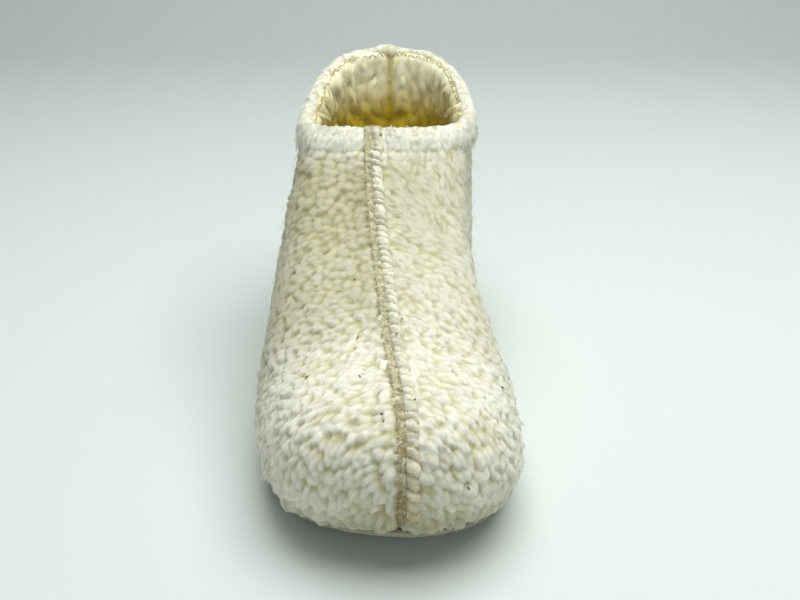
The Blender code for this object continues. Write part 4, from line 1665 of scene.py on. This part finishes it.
# %% Leather sole
def leather_material():
    material = bpy.data.materials.new("pale_leather_in_painted_shade")
    material.use_nodes = True
    tree = material.node_tree
    shader = tree.nodes["Principled BSDF"]
    place = node(tree, "ShaderNodeTexCoord").outputs["Object"]
    clouds = node(tree, "ShaderNodeTexNoise", None, {"Vector": place, "Scale": 90.0, "Detail": 4.0})
    grain = node(tree, "ShaderNodeTexVoronoi", None, {"Vector": place, "Scale": 1300.0})
    # Both colours are painted shade laid over pale leather; the clouds between them stand for its wear.
    colour = node(tree, "ShaderNodeMix", {"data_type": "RGBA"},
                  {0: clouds.outputs["Fac"], 6: (0.22, 0.21, 0.14, 1), 7: (0.36, 0.34, 0.25, 1)})
    relief = node(tree, "ShaderNodeBump", None,
                  {"Strength": 0.3, "Distance": 0.2 * MM, "Height": grain.outputs["Distance"]})
    tree.links.new(colour.outputs[2], shader.inputs["Base Color"])
    tree.links.new(relief.outputs["Normal"], shader.inputs["Normal"])
    shader.inputs["Roughness"].default_value = 0.7
    return material


put_on(frame["nodes"]["outsole"], leather_material())
print("outsole finish:", frame["nodes"]["outsole"].data.materials[0].name)

# %% [markdown]
# ## Specks
# A few dark bits of plant sit in any real fleece. Their places come from the photo: a ray from
# the camera through each one's pixel finds where it lies on the wool.

# %% Specks
PHOTO_SIZE = (800, 600)
SPECK_PIXELS = [(270, 299), (355, 279), (382, 414), (384, 422), (402, 319), (396, 334), (408, 412),
                (415, 399), (469, 489), (360, 377), (502, 387)]
speck_material = wool_material("plant_bits", (0.05, 0.04, 0.02), (0.09, 0.07, 0.04))


def under_pixel(pixel, trees):
    """The nearest place on the wool, and its normal, that this pixel of the photo shows."""
    start = camera.matrix_world.translation
    half = SENSOR_MM / LENS_MM / 2
    across = (pixel[0] / PHOTO_SIZE[0] * 2 - 1) * half
    up = (1 - pixel[1] / PHOTO_SIZE[1] * 2) * half * PHOTO_SIZE[1] / PHOTO_SIZE[0]
    way = camera.matrix_world.to_3x3() @ Vector((across, up, -1)).normalized()
    hits = [tree.ray_cast(start, way) for tree in trees]
    hits = [hit for hit in hits if hit[0]]
    return min(hits, key=lambda hit: hit[3])[:2] if hits else None


bpy.context.view_layer.update()
wool_trees = [wool_tree(bpy.data.objects[name]) for name in (*PANELS, "front_seam_coil")]
speck_hits = [under_pixel(pixel, wool_trees) for pixel in SPECK_PIXELS]
speck_places = np.array([hit[0] for hit in speck_hits if hit])
speck_normals = np.array([hit[1] for hit in speck_hits if hit])
speck_guide = row_guide(speck_places, swirl_at(speck_places * 9, 6.5), speck_normals,
                        np.full(len(speck_places), 1.0))
specks = grown("plant_specks", speck_guide, stitch_tree, {
    "Stir": (0.3, 0.3, 1.5),
    "Least Size": (0.8, 0.8, 0.8),
    "Greatest Size": (1.2, 1.5, 1.2),
    "Shapes": burrs,
    "Finish": speck_material,
})
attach(specks, "root")

# %% [markdown]
# ## Stray hairs
# A few long hairs stand off every fleece and catch the light at its outline. They grow on the
# same skin, far apart.

# %% Stray hairs
HAIR_LOW = 12 * MM
hair_skin = skin_of(backing, faces_out)
hair_places, hair_normals = corner_arrays(hair_skin)
write_nap(hair_skin, nap_of_fleece(hair_places), hair_normals, np.full(len(hair_places), 1.0),
          smooth_step(hair_places[:, 2] - sole_height(hair_places), HAIR_LOW, HAIR_LOW + MM))
hairs = grown("stray_hairs", hair_skin, lock_tree, {
    "Spacing": 9.0 * MM,
    "Most": 200000.0,
    "Stir": (0.5, 0.5, 1.2),
    "Least Size": (0.7, 0.7, 0.7),
    "Greatest Size": (1.1, 1.3, 1.2),
    "Shapes": stray_hairs,
    "Finish": fibre_wool,
    "Seed": 71,
})
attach(hairs, "root")

# %% [markdown]
# ## Leaving the lesson
# The bmesh copies are freed, and the triangles that the lesson added are counted.

for solid in (backing, hem_solid, insole_solid):
    solid.free()
total = sum(triangle_count(piece.data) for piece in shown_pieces() if "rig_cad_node" not in piece)
print("triangles added in all:", total)
